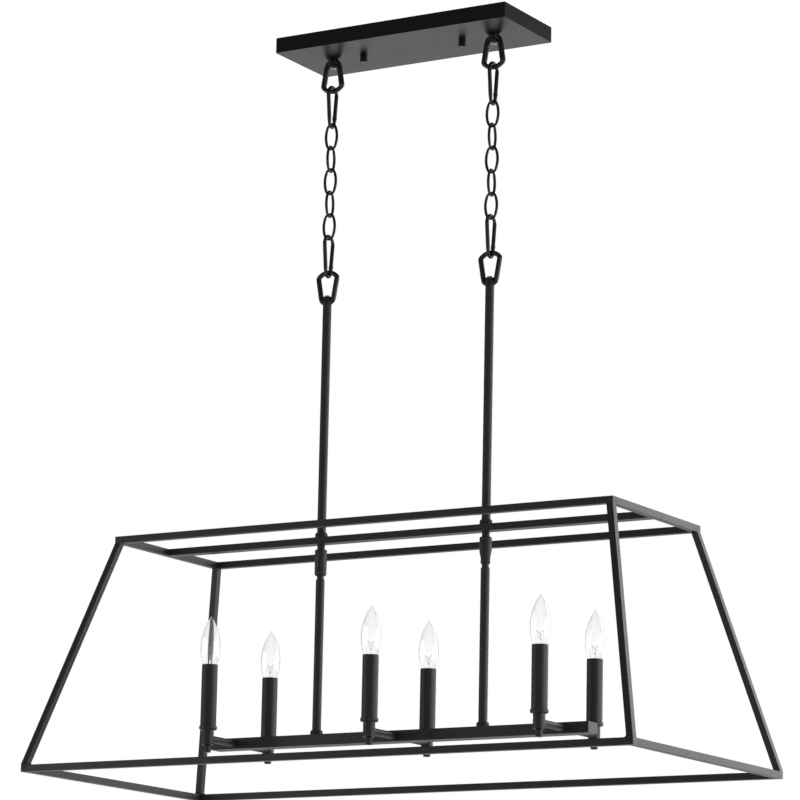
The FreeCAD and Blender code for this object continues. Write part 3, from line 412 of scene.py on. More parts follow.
class CoiledWire(GeometryRecipe):
    """Winds a fine wire into a coil along a line of points."""

    SIDES = 5

    def __init__(self) -> None:
        """Builds the tree."""
        super().__init__(
            "coiled_wire", sizes=("Coil Diameter", "Pitch", "Wire Diameter", "Points Per Turn")
        )
        given = self.given
        line = self.node("GeometryNodeMeshToCurve", inputs={"Mesh": given["Geometry"]})
        step = self.node(
            "ShaderNodeMath",
            {"operation": "DIVIDE"},
            {0: given["Pitch"], 1: given["Points Per Turn"]},
        )
        fine = self.node(
            "GeometryNodeResampleCurve",
            {"mode": "LENGTH"},
            {"Curve": line["Curve"], "Length": step["Value"]},
        )
        along = self.node("GeometryNodeSplineParameter")["Length"]
        turns = self.node("ShaderNodeMath", {"operation": "DIVIDE"}, {0: along, 1: given["Pitch"]})
        phase, radius, wire_radius = (
            self.node("ShaderNodeMath", {"operation": "MULTIPLY"}, {0: size, 1: factor})["Value"]
            for size, factor in (
                (turns["Value"], 2 * math.pi),
                (given["Coil Diameter"], 0.5),
                (given["Wire Diameter"], 0.5),
            )
        )
        tangent = self.node("GeometryNodeInputTangent")["Tangent"]
        normal = self.node("GeometryNodeInputNormal")["Normal"]
        side = self.node(
            "ShaderNodeVectorMath", {"operation": "CROSS_PRODUCT"}, {0: tangent, 1: normal}
        )
        arms = {}
        for index, (wave, way) in enumerate((("COSINE", normal), ("SINE", side["Vector"]))):
            swing = self.node("ShaderNodeMath", {"operation": wave}, {0: phase})
            reach = self.node(
                "ShaderNodeMath", {"operation": "MULTIPLY"}, {0: swing["Value"], 1: radius}
            )
            arm = self.node(
                "ShaderNodeVectorMath", {"operation": "SCALE"}, {0: way, "Scale": reach["Value"]}
            )
            arms[index] = arm["Vector"]
        offset = self.node("ShaderNodeVectorMath", {"operation": "ADD"}, arms)
        wound = self.node(
            "GeometryNodeSetPosition",
            inputs={"Geometry": fine["Curve"], "Offset": offset["Vector"]},
        )
        section = self.node(
            "GeometryNodeCurvePrimitiveCircle",
            inputs={"Resolution": self.SIDES, "Radius": wire_radius},
        )
        swept = self.node(
            "GeometryNodeCurveToMesh",
            inputs={
                "Curve": wound["Geometry"],
                "Profile Curve": section["Curve"],
                "Fill Caps": True,
            },
        )
        self.end(swept["Mesh"])


class AtStations(GeometryRecipe):
    """Sets a copy of a piece at each station, turned as the station says."""

    def __init__(self) -> None:
        """Builds the tree."""
        super().__init__("at_stations", objects=("Piece",))
        piece = self.node(
            "GeometryNodeObjectInfo",
            {"transform_space": "ORIGINAL"},
            {"Object": self.given["Piece"]},
        )
        points = self.node("GeometryNodeMeshToPoints", inputs={"Mesh": self.given["Geometry"]})
        turn = self.node(
            "GeometryNodeInputNamedAttribute", {"data_type": "FLOAT"}, {"Name": "turn"}
        )
        about_z = self.node("ShaderNodeCombineXYZ", inputs={"Z": turn["Attribute"]})
        rotation = self.node("FunctionNodeEulerToRotation", inputs={"Euler": about_z["Vector"]})
        copies = self.node(
            "GeometryNodeInstanceOnPoints",
            inputs={
                "Points": points["Points"],
                "Instance": piece["Geometry"],
                "Rotation": rotation["Rotation"],
            },
        )
        self.end(copies["Instances"])


# ---- finishes -----------------------------------------------------------------------------


NOISE_SPAN = (0.3, 0.7)  # nearly all of the noise's factor lies between these


@dataclass(frozen=True)
class Finish:
    """What a real surface is made of and how it was made."""

    name: str = "plain"
    colour: str = "#808080"
    roughness: float = 0.5
    metallic: float = 0.0
    specular: float = 0.5

    def material(self) -> bpy.types.Material:
        """Builds the material once and returns it.

        Returns:
            The material, with its pattern and shader.
        """
        found = bpy.data.materials.get(self.name)
        if found:
            return found
        material = bpy.data.materials.new(self.name)
        material.use_nodes = True
        tree = material.node_tree
        tree.nodes.clear()
        shader = add_node(
            tree,
            "ShaderNodeBsdfPrincipled",
            inputs={
                "Base Color": linear(self.colour),
                "Roughness": self.roughness,
                "Metallic": self.metallic,
                "Specular IOR Level": self.specular,
            },
        )
        add_node(tree, "ShaderNodeOutputMaterial", inputs={"Surface": shader.outputs["BSDF"]})
        self.pattern(tree, shader)
        return material

    def pattern(self, tree: bpy.types.NodeTree, shader: bpy.types.Node) -> None:
        """Adds the surface's own pattern to its shader; a plain finish has none."""

    def _noise(
        self, tree: bpy.types.NodeTree, size_mm: float, detail: float = 2.0, stretch: float = 1.0
    ) -> bpy.types.NodeSocket:
        """Lays soft noise over the piece, by its own place.

        Args:
            tree: The material's tree.
            size_mm: How far apart the blotches are.
            detail: How many finer layers the noise has.
            stretch: How much longer than wide the blotches are, along Z.

        Returns:
            The noise's factor.
        """
        place = add_node(tree, "ShaderNodeTexCoord").outputs["Object"]
        drawn = add_node(
            tree, "ShaderNodeMapping", inputs={"Vector": place, "Scale": (1.0, 1.0, 1.0 / stretch)}
        ).outputs["Vector"]
        noise = add_node(
            tree,
            "ShaderNodeTexNoise",
            inputs={"Vector": drawn, "Scale": 1 / (size_mm * MM), "Detail": detail},
        )
        return noise.outputs["Fac"]

    def _uneven_gloss(
        self,
        tree: bpy.types.NodeTree,
        shader: bpy.types.Node,
        noise: bpy.types.NodeSocket,
        less: float,
        more: float,
    ) -> None:
        """Lets the roughness drift about the finish's own.

        Args:
            tree: The material's tree.
            shader: Its shader.
            noise: The factor that the drift follows.
            less: How far the roughness falls.
            more: How far it rises.
        """
        drift = add_node(
            tree,
            "ShaderNodeMapRange",
            inputs={
                0: noise,
                "From Min": NOISE_SPAN[0],
                "From Max": NOISE_SPAN[1],
                "To Min": self.roughness - less,
                "To Max": self.roughness + more,
            },
        )
        tree.links.new(drift.outputs["Result"], shader.inputs["Roughness"])

    def _relief(
        self,
        tree: bpy.types.NodeTree,
        shader: bpy.types.Node,
        noise: bpy.types.NodeSocket,
        depth_mm: float,
        strength: float,
    ) -> None:
        """Raises the surface where the noise is high.

        Args:
            tree: The material's tree.
            shader: Its shader.
            noise: The factor that the relief follows.
            depth_mm: The relief's real depth.
            strength: How much of it is shown.
        """
        bump = add_node(
            tree,
            "ShaderNodeBump",
            inputs={"Height": noise, "Distance": depth_mm * MM, "Strength": strength},
        )
        tree.links.new(bump.outputs["Normal"], shader.inputs["Normal"])


@dataclass(frozen=True)
class PowderCoat(Finish):
    """Black polyester powder, sprayed and baked on steel: an even satin with fine orange peel."""

    peel_mm: float = 1.1
    peel_depth_mm: float = 0.005
    peel_strength: float = 0.6
    cloud_mm: float = 45.0
    cloud_detail: float = 4.0
    roughness_spread: float = 0.015

    def pattern(self, tree: bpy.types.NodeTree, shader: bpy.types.Node) -> None:
        """Adds orange peel and a faint drift of gloss.

        Args:
            tree: The material's tree.
            shader: Its shader.
        """
        cloud = self._noise(tree, self.cloud_mm, self.cloud_detail)
        self._uneven_gloss(tree, shader, cloud, self.roughness_spread, self.roughness_spread)
        peel = self._noise(tree, self.peel_mm)
        self._relief(tree, shader, peel, self.peel_depth_mm, self.peel_strength)


@dataclass(frozen=True)
class MatteSleeve(Finish):
    """Extruded polycarbonate candle sleeve: a dull black skin with faint upright draw lines.

    Real draw lines lie about 0.1 mm apart, too fine to show, so they are drawn wider.
    """

    draw_line_mm: float = 0.7
    draw_depth_mm: float = 0.01
    draw_strength: float = 0.5
    draw_stretch: float = 40.0

    def pattern(self, tree: bpy.types.NodeTree, shader: bpy.types.Node) -> None:
        """Adds the draw lines.

        Args:
            tree: The material's tree.
            shader: Its shader.
        """
        lines = self._noise(tree, self.draw_line_mm, stretch=self.draw_stretch)
        self._relief(tree, shader, lines, self.draw_depth_mm, self.draw_strength)


@dataclass(frozen=True)
class PlatedMetal(Finish):
    """Bright plate on pressed or turned metal, with a crystalline mottle in its gloss."""

    mottle_mm: float = 2.5
    mottle_detail: float = 3.0
    glossier: float = 0.08
    duller: float = 0.1

    def pattern(self, tree: bpy.types.NodeTree, shader: bpy.types.Node) -> None:
        """Adds the mottle to the roughness.

        Args:
            tree: The material's tree.
            shader: Its shader.
        """
        mottle = self._noise(tree, self.mottle_mm, self.mottle_detail)
        self._uneven_gloss(tree, shader, mottle, self.glossier, self.duller)


@dataclass(frozen=True)
class MouldedPhenolic(Finish):
    """Compression-moulded phenolic: dull, dark brown-black and slightly grainy.

    Its real grain is finer than the render shows, so it is drawn 0.5 mm across.
    """

    grain_mm: float = 0.5
    grain_depth_mm: float = 0.02
    grain_strength: float = 0.5

    def pattern(self, tree: bpy.types.NodeTree, shader: bpy.types.Node) -> None:
        """Adds the moulding grain.

        Args:
            tree: The material's tree.
            shader: Its shader.
        """
        grain = self._noise(tree, self.grain_mm)
        self._relief(tree, shader, grain, self.grain_depth_mm, self.grain_strength)


@dataclass(frozen=True)
class LampWire(Finish):
    """Drawn wire inside a lamp, with a faint scale from its forming heat.

    The real scale is finer than the render shows, so it is drawn 0.4 mm across.
    """

    scale_mm: float = 0.4
    spread: float = 0.1

    def pattern(self, tree: bpy.types.NodeTree, shader: bpy.types.Node) -> None:
        """Adds the drawn surface's uneven gloss.

        Args:
            tree: The material's tree.
            shader: Its shader.
        """
        scale = self._noise(tree, self.scale_mm)
        self._uneven_gloss(tree, shader, scale, self.spread, self.spread)


@dataclass(frozen=True)
class BlownGlass(Finish):
    """Clear soda-lime glass, blown thin: a trace of ripple, and painted grey shade where it turns
    away from view.
    """

    ior: float = 1.5
    # painted shade: the colour is greyed towards this one where the glass turns away from view
    rim_painted_shade: str = "#E0E1E0"
    rim_shade_blend: float = 0.35
    ripple_mm: float = 9.0
    ripple_depth_mm: float = 0.02
    ripple_strength: float = 0.3

    def pattern(self, tree: bpy.types.NodeTree, shader: bpy.types.Node) -> None:
        """Makes the shader clear, paints grey shade on its rim and adds the ripple.

        Args:
            tree: The material's tree.
            shader: Its shader.
        """
        shader.inputs["Transmission Weight"].default_value = 1.0
        shader.inputs["IOR"].default_value = self.ior
        facing = add_node(tree, "ShaderNodeLayerWeight", inputs={"Blend": self.rim_shade_blend})
        rim_shade = add_node(
            tree,
            "ShaderNodeMixRGB",
            inputs={
                "Fac": facing.outputs["Facing"],
                "Color1": linear(self.colour),
                "Color2": linear(self.rim_painted_shade),
            },
        )
        tree.links.new(rim_shade.outputs["Color"], shader.inputs["Base Color"])
        ripple = self._noise(tree, self.ripple_mm)
        self._relief(tree, shader, ripple, self.ripple_depth_mm, self.ripple_strength)


# Bars, stems and cups: a grey-black satin whose flat faces catch a soft, wide light.
POWDER = PowderCoat("powder_coated_steel", "#29292A", roughness=0.42, specular=0.22)
# The canopy's sheet has the same black powder as the cage, painted near black as painted shade for
# its dim front, and a little glossier below.
SHADED_PAN_POWDER = PowderCoat("powder_coated_sheet", "#080809", roughness=0.34, specular=0.24)
# Round wire: the same black powder, painted lighter than the canopy's as painted light for the lit
# sides of its legs; a narrow light line along each leg, and hardly any peel.
LIT_WIRE_POWDER = PowderCoat(
    "powder_coated_wire", "#1A1A1B", roughness=0.38, specular=0.26, peel_mm=0.8, peel_depth_mm=0.002
)
# The candle sleeves: duller than the steel beside them, with one soft upright light.
SLEEVE = MatteSleeve("matte_black_sleeve", "#222223", roughness=0.46, specular=0.26)
# Hidden fittings and bushings: a pale cold glint.
ZINC = PlatedMetal("zinc_plated_steel", "#B4B7BA", roughness=0.35, metallic=1.0)
# The lamp holders: a dark gap under each lamp's neck.
PHENOLIC = MouldedPhenolic("moulded_phenolic", "#211D1A", roughness=0.55, specular=0.35)
# The lamps' screw bases: a warm, brighter plate than zinc.
BASE_METAL = PlatedMetal(
    "nickel_plated_brass", "#C9BFA6", roughness=0.28, metallic=1.0, mottle_mm=1.5
)
# Leads inside the lamps: fine mid-grey lines.
LEAD_WIRE = LampWire("nickel_lead_wire", "#8F8B84", roughness=0.35, metallic=1.0)
# The unlit filament: a darker, duller line than its leads.
TUNGSTEN = LampWire("tungsten_coil", "#6B6966", roughness=0.45, metallic=1.0)
# The lamps' envelopes: clear in the middle, with painted grey shade at the edge all round.
GLASS = BlownGlass("clear_blown_glass", "#FEFEFD", roughness=0.0, rim_painted_shade="#DBDCDB")
# The thick mounts inside them: clear, but streaked and not quite polished, with the same painted
# rim shade.
MOUNT_GLASS = BlownGlass("pressed_mount_glass", "#F4F6F5", roughness=0.06)


# ---- bent wire: loops, connectors and links -----------------------------------------------


FEWEST_ARC_POINTS = 3


def arc_points(
    centre: Vector, radius: float, start: float, end: float, spacing: float
) -> list[Vector]:
    """Points on an arc in the ring's own plane, without its last one.

    Args:
        centre: The arc's centre.
        radius: Its radius.
        start: The angle where it starts, in radians.
        end: The angle where it ends, which may be less than start.
        spacing: The distance between points, in metres.

    Returns:
        The points, from start on.
    """
    count = max(FEWEST_ARC_POINTS, round(abs(end - start) * radius / spacing))
    angles = [start + (end - start) * i / count for i in range(count)]
    return [centre + Vector((math.cos(a), math.sin(a))) * radius for a in angles]


def straight_points(start: Vector, end: Vector, count: int) -> list[Vector]:
    """Evenly spaced points on a straight line, without its end.

    Args:
        start: The first point.
        end: Where the line ends.
        count: How many points it takes.

    Returns:
        The points, from start on.
    """
    return [start.lerp(end, i / count) for i in range(count)]


def line_mesh(
    name: str, lines: list[list[Vector]], closed: bool = False, swell: list[float] | None = None
) -> bpy.types.Mesh:
    """A mesh of lines for a wire to follow.

    Args:
        name: The mesh's name.
        lines: The points of each line.
        closed: Whether each line ends where it starts.
        swell: How much thicker than the wire each point is, where it is uneven.

    Returns:
        The mesh, which holds the thickness as an attribute.
    """
    points, joins = [], []
    for line in lines:
        first = len(points)
        points += line
        joins += [(i, i + 1) for i in range(first, len(points) - 1)]
        if closed:
            joins.append((len(points) - 1, first))
    mesh = bpy.data.meshes.new(name)
    mesh.from_pydata(points, joins, [])
    attribute = mesh.attributes.new("swell", "FLOAT", "POINT")
    attribute.data.foreach_set("value", swell or [1.0] * len(points))
    return mesh


@dataclass
class WireRing:
    """A closed ring of round wire that hangs in an upright plane.

    Its run is laid out in two dimensions, centred, with its top upwards, and then placed. It is
    stouter by a share of the wire along its legs, but not in its bends, where rings touch.
    """

    node: str
    bend: Bend
    plane: Plane
    wire: float
    length: float
    width: float
    narrow: float = 0.0
    corner: float = 0.0
    shoulder: float = 0.0
    arch: float = 0.0
    upside_down: bool = False
    gap: float = 0.0
    gap_height: float = 0.0
    lip: float = 0.0
    lip_length: float = 0.0
    lip_spacing: float = 0.4
    stoutness: float = 0.0
    bend_share: float = 0.2
    spacing: float = 1.2
    flank_stretch: float = 1.5
    leg_steps: int = 20
    bar_steps: int = 4
    sides: int = 20

    def run(self) -> list[Vector]:
        """The centreline in the ring's own plane, in metres."""
        layout = {Bend.LOOP: self._loop, Bend.CONNECTOR: self._connector, Bend.LINK: self._link}
        return layout[self.bend]()

    def _link(self) -> list[Vector]:
        """An oval of two end arcs blended into two flat arcs.

        Returns:
            Its points, from one side of the seam round to the other.
        """
        long = (self.length - self.wire) / 2 * MM
        wide = (self.width - self.wire) / 2 * MM
        end = self.corner * MM
        rise = long - end
        side = (wide**2 + rise**2 - end**2) / (2 * (wide - end))
        blend = math.atan2(rise, side - wide)
        pi, step = math.pi, self.spacing * MM
        flank = step * self.flank_stretch
        centre = Vector((side - wide, 0))
        seam = self.gap / 2 * MM / side
        return (
            arc_points(centre, side, pi - seam, pi - blend, flank)
            + arc_points(Vector((0, rise)), end, pi - blend, blend, step)
            + arc_points(Vector((wide - side, 0)), side, blend, -blend, flank)
            + arc_points(Vector((0, -rise)), end, -blend, blend - pi, step)
            + arc_points(centre, side, pi + blend, pi + seam, flank)
            + [centre - Vector((math.cos(seam), math.sin(seam))) * side]
        )

    def _connector(self) -> list[Vector]:
        """A pear of a wide arc above and a narrow arc below, joined by straight legs.

        Returns:
            Its points, from the upper side of the slit round to the lower.
        """
        wide = (self.width - self.wire) / 2 * MM
        narrow = (self.narrow - self.wire) / 2 * MM
        half = (self.length - self.wire) / 2 * MM
        top, bottom = Vector((0, half - wide)), Vector((0, narrow - half))
        lean = math.asin((wide - narrow) / (top.y - bottom.y))
        out = Vector((math.cos(lean), -math.sin(lean)))
        leg = Vector((math.sin(lean), math.cos(lean)))
        foot = bottom + out * narrow
        head = top + out * wide
        slit = foot + leg * (((self.gap_height * MM - self.length / 2 * MM) - foot.y) / leg.y)
        lower = slit - leg * (self.gap / 2 * MM)
        upper = slit + leg * (self.gap / 2 * MM)
        pi, step = math.pi, self.spacing * MM
        far_head, far_foot = Vector((-head.x, head.y)), Vector((-foot.x, foot.y))
        return (
            self._lipped_leg(upper, head)
            + arc_points(top, wide, -lean, pi + lean, step)
            + straight_points(far_head, far_foot, self.leg_steps)
            + arc_points(bottom, narrow, pi + lean, 2 * pi - lean, step)
            + self._lipped_leg(foot, lower)
            + [lower]
        )

    def _lipped_leg(self, start: Vector, end: Vector) -> list[Vector]:
        """Points along a leg, close enough together to show its lip."""
        steps = round((end - start).length / (self.lip_spacing * MM))
        return straight_points(start, end, max(self.bar_steps, steps))

    def _loop(self) -> list[Vector]:
        """A trapezoid with a straight narrow bar below and an arched wide bar above.

        Returns:
            Its points, all the way round from the middle of the arch.
        """
        wide = (self.width - self.wire) / 2 * MM
        narrow = (self.narrow - self.wire) / 2 * MM
        height = (self.length - self.wire) * MM
        corner, shoulder, arch = self.corner * MM, self.shoulder * MM, self.arch * MM
        arch_radius = (wide**2 + arch**2) / (2 * arch)
        arch_centre = Vector((0, height - arch_radius))
        foot = Vector((narrow, 0))
        leg = (Vector((wide, height - arch)) - foot).normalized()
        inward = Vector((-leg.y, leg.x))
        back = corner * math.tan(math.atan2(leg.y, leg.x) / 2)
        corner_centre = Vector((narrow - back, corner))
        base = foot + inward * shoulder - arch_centre
        along = base.dot(leg)
        reach = math.sqrt(along**2 - base.dot(base) + (arch_radius - shoulder) ** 2) - along
        shoulder_centre = foot + inward * shoulder + leg * reach
        out = shoulder_centre - arch_centre
        rise = math.atan2(out.y, out.x)
        fall = math.atan2(-inward.y, -inward.x)
        step, pi, middle = self.spacing * MM, math.pi, Vector((0, 0))
        half = arc_points(arch_centre, arch_radius, pi / 2, rise, step)
        half += arc_points(shoulder_centre, shoulder, rise, fall, step)
        half += straight_points(foot + leg * reach, foot + leg * back, self.leg_steps)
        half += arc_points(corner_centre, corner, fall, -pi / 2, step)
        half += straight_points(Vector((narrow - back, 0)), middle, self.bar_steps)
        mirrored = [Vector((-p.x, p.y)) for p in half[1:]]
        return half + [middle] + mirrored[::-1]

    def swell(self, points: list[Vector]) -> list[float]:
        """How much thicker than the wire each point is: along the legs and at the lips by a slit.

        Args:
            points: The centreline.

        Returns:
            One factor for each point.
        """
        heights = [point.y for point in points]
        middle, half = (max(heights) + min(heights)) / 2, (max(heights) - min(heights)) / 2
        slit = (points[0] + points[-1]) / 2
        reach = (self.lip_length + self.gap / 2) * MM
        factors = []
        for point in points:
            inward = 1 - abs(point.y - middle) / half
            blend = min(max(inward / self.bend_share - 1, 0.0), 1.0)
            factor = 1.0 + self.stoutness * blend * blend * (3 - 2 * blend)
            if self.lip and (point - slit).length <= reach:
                factor += self.lip / self.wire
            factors.append(factor)
        return factors

    def place(self, point: Vector, centre: Vector, foot: float) -> Vector:
        """Stands a point of the run up in the frame.

        Args:
            point: The point in the ring's plane.
            centre: The node's middle.
            foot: The height of the run's zero in the frame.

        Returns:
            The point in the frame.
        """
        height = foot - point.y if self.upside_down else foot + point.y
        if self.plane is Plane.ALONG:
            return Vector((centre.x + point.x, centre.y, height))
        return Vector((centre.x, centre.y + point.x, height))

    def build(self, recipe: BentWire, body: str) -> bpy.types.Object:
        """Bends the wire in the place of its CAD node.

        Args:
            recipe: The tree that sweeps the wire.
            body: The CAD body that the ring rides on.

        Returns:
            The ring.
        """
        low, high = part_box(self.node)
        centre = (low + high) / 2
        if self.bend is Bend.LOOP:
            end = low.z if self.upside_down else high.z
            inset = (self.length - self.wire / 2) * MM
            foot = end + inset if self.upside_down else end - inset
        else:
            foot = centre.z
        points = self.run()
        placed = [self.place(point, centre, foot) for point in points]
        mesh = line_mesh(self.node, [placed], closed=self.gap == 0, swell=self.swell(points))
        obj = new_object(f"{self.node}_wire", mesh)
        recipe.run(
            obj,
            {
                "Wire Diameter": self.wire * MM,
                "Sides": float(self.sides),
                "Finish": LIT_WIRE_POWDER.material(),
            },
        )
        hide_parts(self.node)
        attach(obj, body)
        return obj


@dataclass
class Chains:
    """The two chains: oval links between pear-shaped connectors."""

    link_count: int = 5
    link_wire: float = 4.0
    link_end: float = 8.0
    link_seam: float = 0.4
    link_stoutness: float = 0.14
    connector_wire: float = 5.4
    connector_stoutness: float = 0.2
    connector_narrow: float = 19.8
    slit: float = 0.8
    slit_height: float = 20.0
    slit_lip: float = 1.0
    slit_lip_length: float = 1.6

    def build(self, recipe: BentWire) -> int:
        """Bends every connector and link in place.

        Args:
            recipe: The tree that sweeps the wire.

        Returns:
            How many rings were made.
        """
        rings = 0
        for side in Side:
            for end in ("upper", "lower"):
                node = f"connector_{end}_{side.value}"
                self._connector(node).build(recipe, node)
            for number in range(1, self.link_count + 1):
                node = f"link_{number}_{side.value}"
                self._link(node, number).build(recipe, f"chain_{side.value}")
            rings += 2 + self.link_count
        return rings

    def _link(self, node: str, number: int) -> WireRing:
        """One link, sized by its CAD node.

        Args:
            node: The node.
            number: Its place in the chain from above; odd ones lie along the canopy.

        Returns:
            The ring, still to be built.
        """
        low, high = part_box(node)
        size = high - low
        along = number % 2 == 1
        return WireRing(
            node,
            Bend.LINK,
            Plane.ALONG if along else Plane.ACROSS,
            wire=self.link_wire,
            length=size.z / MM,
            width=(size.x if along else size.y) / MM,
            corner=self.link_end,
            gap=self.link_seam,
            stoutness=self.link_stoutness,
        )

    def _connector(self, node: str) -> WireRing:
        """One connector, sized by its CAD node.

        Args:
            node: The node.

        Returns:
            The ring, still to be built.
        """
        low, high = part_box(node)
        return WireRing(
            node,
            Bend.CONNECTOR,
            Plane.ACROSS,
            wire=self.connector_wire,
            length=(high.z - low.z) / MM,
            width=(high.y - low.y) / MM,
            narrow=self.connector_narrow,
            gap=self.slit,
            gap_height=self.slit_height,
            lip=self.slit_lip,
            lip_length=self.slit_lip_length,
            stoutness=self.connector_stoutness,
        )


# ---- turned pieces ------------------------------------------------------------------------


def station_mesh(places: list[tuple[Vector, float]]) -> bpy.types.Mesh:
    """A mesh of loose points that says where copies go and how they turn.

    Args:
        places: Each station's place and its turn about Z, in radians.

    Returns:
        The mesh.
    """
    mesh = bpy.data.meshes.new("stations")
    mesh.from_pydata([place for place, _ in places], [], [])
    attribute = mesh.attributes.new("turn", "FLOAT", "POINT")
    attribute.data.foreach_set("value", [turn for _, turn in places])
    return mesh


@dataclass
class Turnery:
    """Makes a piece once and sets it at each of its stations, as one object on one body."""

    recipe: AtStations

    def set_out(
        self,
        name: str,
        piece: bpy.types.Mesh,
        places: list[tuple[Vector, float]],
        finish: Finish,
        body: str,
        nodes: tuple[str, ...] = (),
    ) -> None:
        """Copies a piece to its stations.

        Args:
            name: The new object's name.
            piece: The piece, with its station at the origin.
            places: Where the copies go.
            finish: What they are made of.
            body: The CAD body that they ride on.
            nodes: The CAD nodes that they replace.
        """
        pattern = new_object(f"{name}_pattern", piece)
        obj = new_object(name, station_mesh(places))
        self.recipe.run(obj, {"Piece": pattern, "Finish": finish.material()})
        bpy.data.objects.remove(pattern)
        if nodes:
            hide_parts(*nodes)
        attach(obj, body)


def tube_outline(outer: float, inner: float, low: float, high: float) -> Outline:
    """The profile of a plain tube's wall.

    Args:
        outer: The tube's outer diameter, in millimetres.
        inner: Its inner diameter, in millimetres.
        low: The height of its lower end, in metres.
        high: The height of its upper end, in metres.

    Returns:
        The closed profile.
    """
    bore, skin = inner / 2 * MM, outer / 2 * MM
    return [(bore, low), (skin, low), (skin, high), (bore, high)]


@dataclass
class HangLoops:
    """Four wire loops with turned hubs: two below the canopy, two on the stems."""

    wire: float = 7.8
    height: float = 57.8
    wide: float = 43.0
    narrow: float = 29.0
    arch: float = 8.5
    shoulder: float = 4.5
    corner: float = 6.5
    hub_diameter: float = 15.0
    hub_length: float = 13.0
    spigot_diameter: float = 9.0
    spigot_length: float = 12.0
    spigot_reveal: float = 2.3
    wire_hole: float = 5.8
    canopy_stoutness: float = 0.2
    stem_stoutness: float = 0.07
    bushing_seat: float = 0.5
    bushing_ease: float = 0.4
    ease: float = 0.8
    leg_steps: int = 8
    sides: int = 28

    def build(self, recipe: BentWire, turnery: Turnery) -> int:
        """Bends each loop, joins its hub to it and presses the wire bushings into the hubs.

        Args:
            recipe: The tree that sweeps the wire.
            turnery: Sets turned pieces at their stations.

        Returns:
            How many loops were made.
        """
        loops = 0
        for level, body, inverted in (("canopy", "ceiling_mount", True), ("stem", "cage", False)):
            places = [
                self._loop(f"{level}_loop_{side.value}", body, inverted, recipe) for side in Side
            ]
            bushing = self._bushing(-1.0 if inverted else 1.0)
            turnery.set_out(f"{level}_loop_bushings", bushing, places, ZINC, body)
            loops += len(places)
        return loops

    def _loop(
        self, node: str, body: str, upside_down: bool, recipe: BentWire
    ) -> tuple[Vector, float]:
        """Makes one loop and its hub.

        Args:
            node: The CAD node whose place the loop takes.
            body: The CAD body that it rides on.
            upside_down: Whether its hub is above it.
            recipe: The tree that sweeps the wire.

        Returns:
            The station of the hub's seat.
        """
        ring = WireRing(
            node,
            Bend.LOOP,
            Plane.ALONG,
            wire=self.wire,
            length=self.height,
            width=self.wide,
            narrow=self.narrow,
            corner=self.corner,
            shoulder=self.shoulder,
            arch=self.arch,
            upside_down=upside_down,
            stoutness=self.canopy_stoutness if upside_down else self.stem_stoutness,
            leg_steps=self.leg_steps,
            sides=self.sides,
        ).build(recipe, body)
        low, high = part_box(node)
        spigot = self.spigot_length * MM
        seat = high.z - spigot if upside_down else low.z + spigot
        hub = self._hub(node)
        flip = Matrix.Scale(-1.0 if upside_down else 1.0, 4, (0, 0, 1))
        place = Vector(((low.x + high.x) / 2, (low.y + high.y) / 2, seat))
        hub.transform(Matrix.Translation(place) @ flip)
        bm = bmesh.new()
        bm.from_mesh(ring.data)
        bm.from_mesh(hub)
        mesh = mesh_from(bm, ring.name)
        bpy.data.meshes.remove(hub)
        finish_with(mesh, LIT_WIRE_POWDER.material())
        ring.data = mesh
        return place, 0.0

    def _bushing(self, facing: float) -> bpy.types.Mesh:
        """The bushing's end that shows beyond the hub, seated at height 0 and facing up or down.

        Args:
            facing: 1 where the hub rises from its seat, -1 where it hangs from it.

        Returns:
            The turned mesh.
        """
        low = (self.hub_length + self.bushing_seat) * MM
        high = (self.hub_length + self.spigot_reveal) * MM
        outline = tube_outline(self.spigot_diameter, self.wire_hole, facing * low, facing * high)
        return turned_mesh("loop_bushing", eased(outline, self.bushing_ease * MM, True), True)

    def _hub(self, node: str) -> bpy.types.Mesh:
        """The hub and spigot with the supply wire's hole through them, seated at height 0.

        Args:
            node: The loop that it is for.

        Returns:
            The turned mesh.
        """
        hole = self.wire_hole / 2 * MM
        hub, spigot = self.hub_diameter / 2 * MM, self.spigot_diameter / 2 * MM
        foot, top = -self.spigot_length * MM, self.hub_length * MM
        tip = top + self.bushing_seat * MM
        outline = [(hole, foot), (spigot, foot), (spigot, 0.0), (hub, 0.0)]
        outline += [(hub, top), (spigot, top), (spigot, tip), (hole, tip)]
        return turned_mesh(f"{node}_hub", eased(outline, self.ease * MM, True), True)


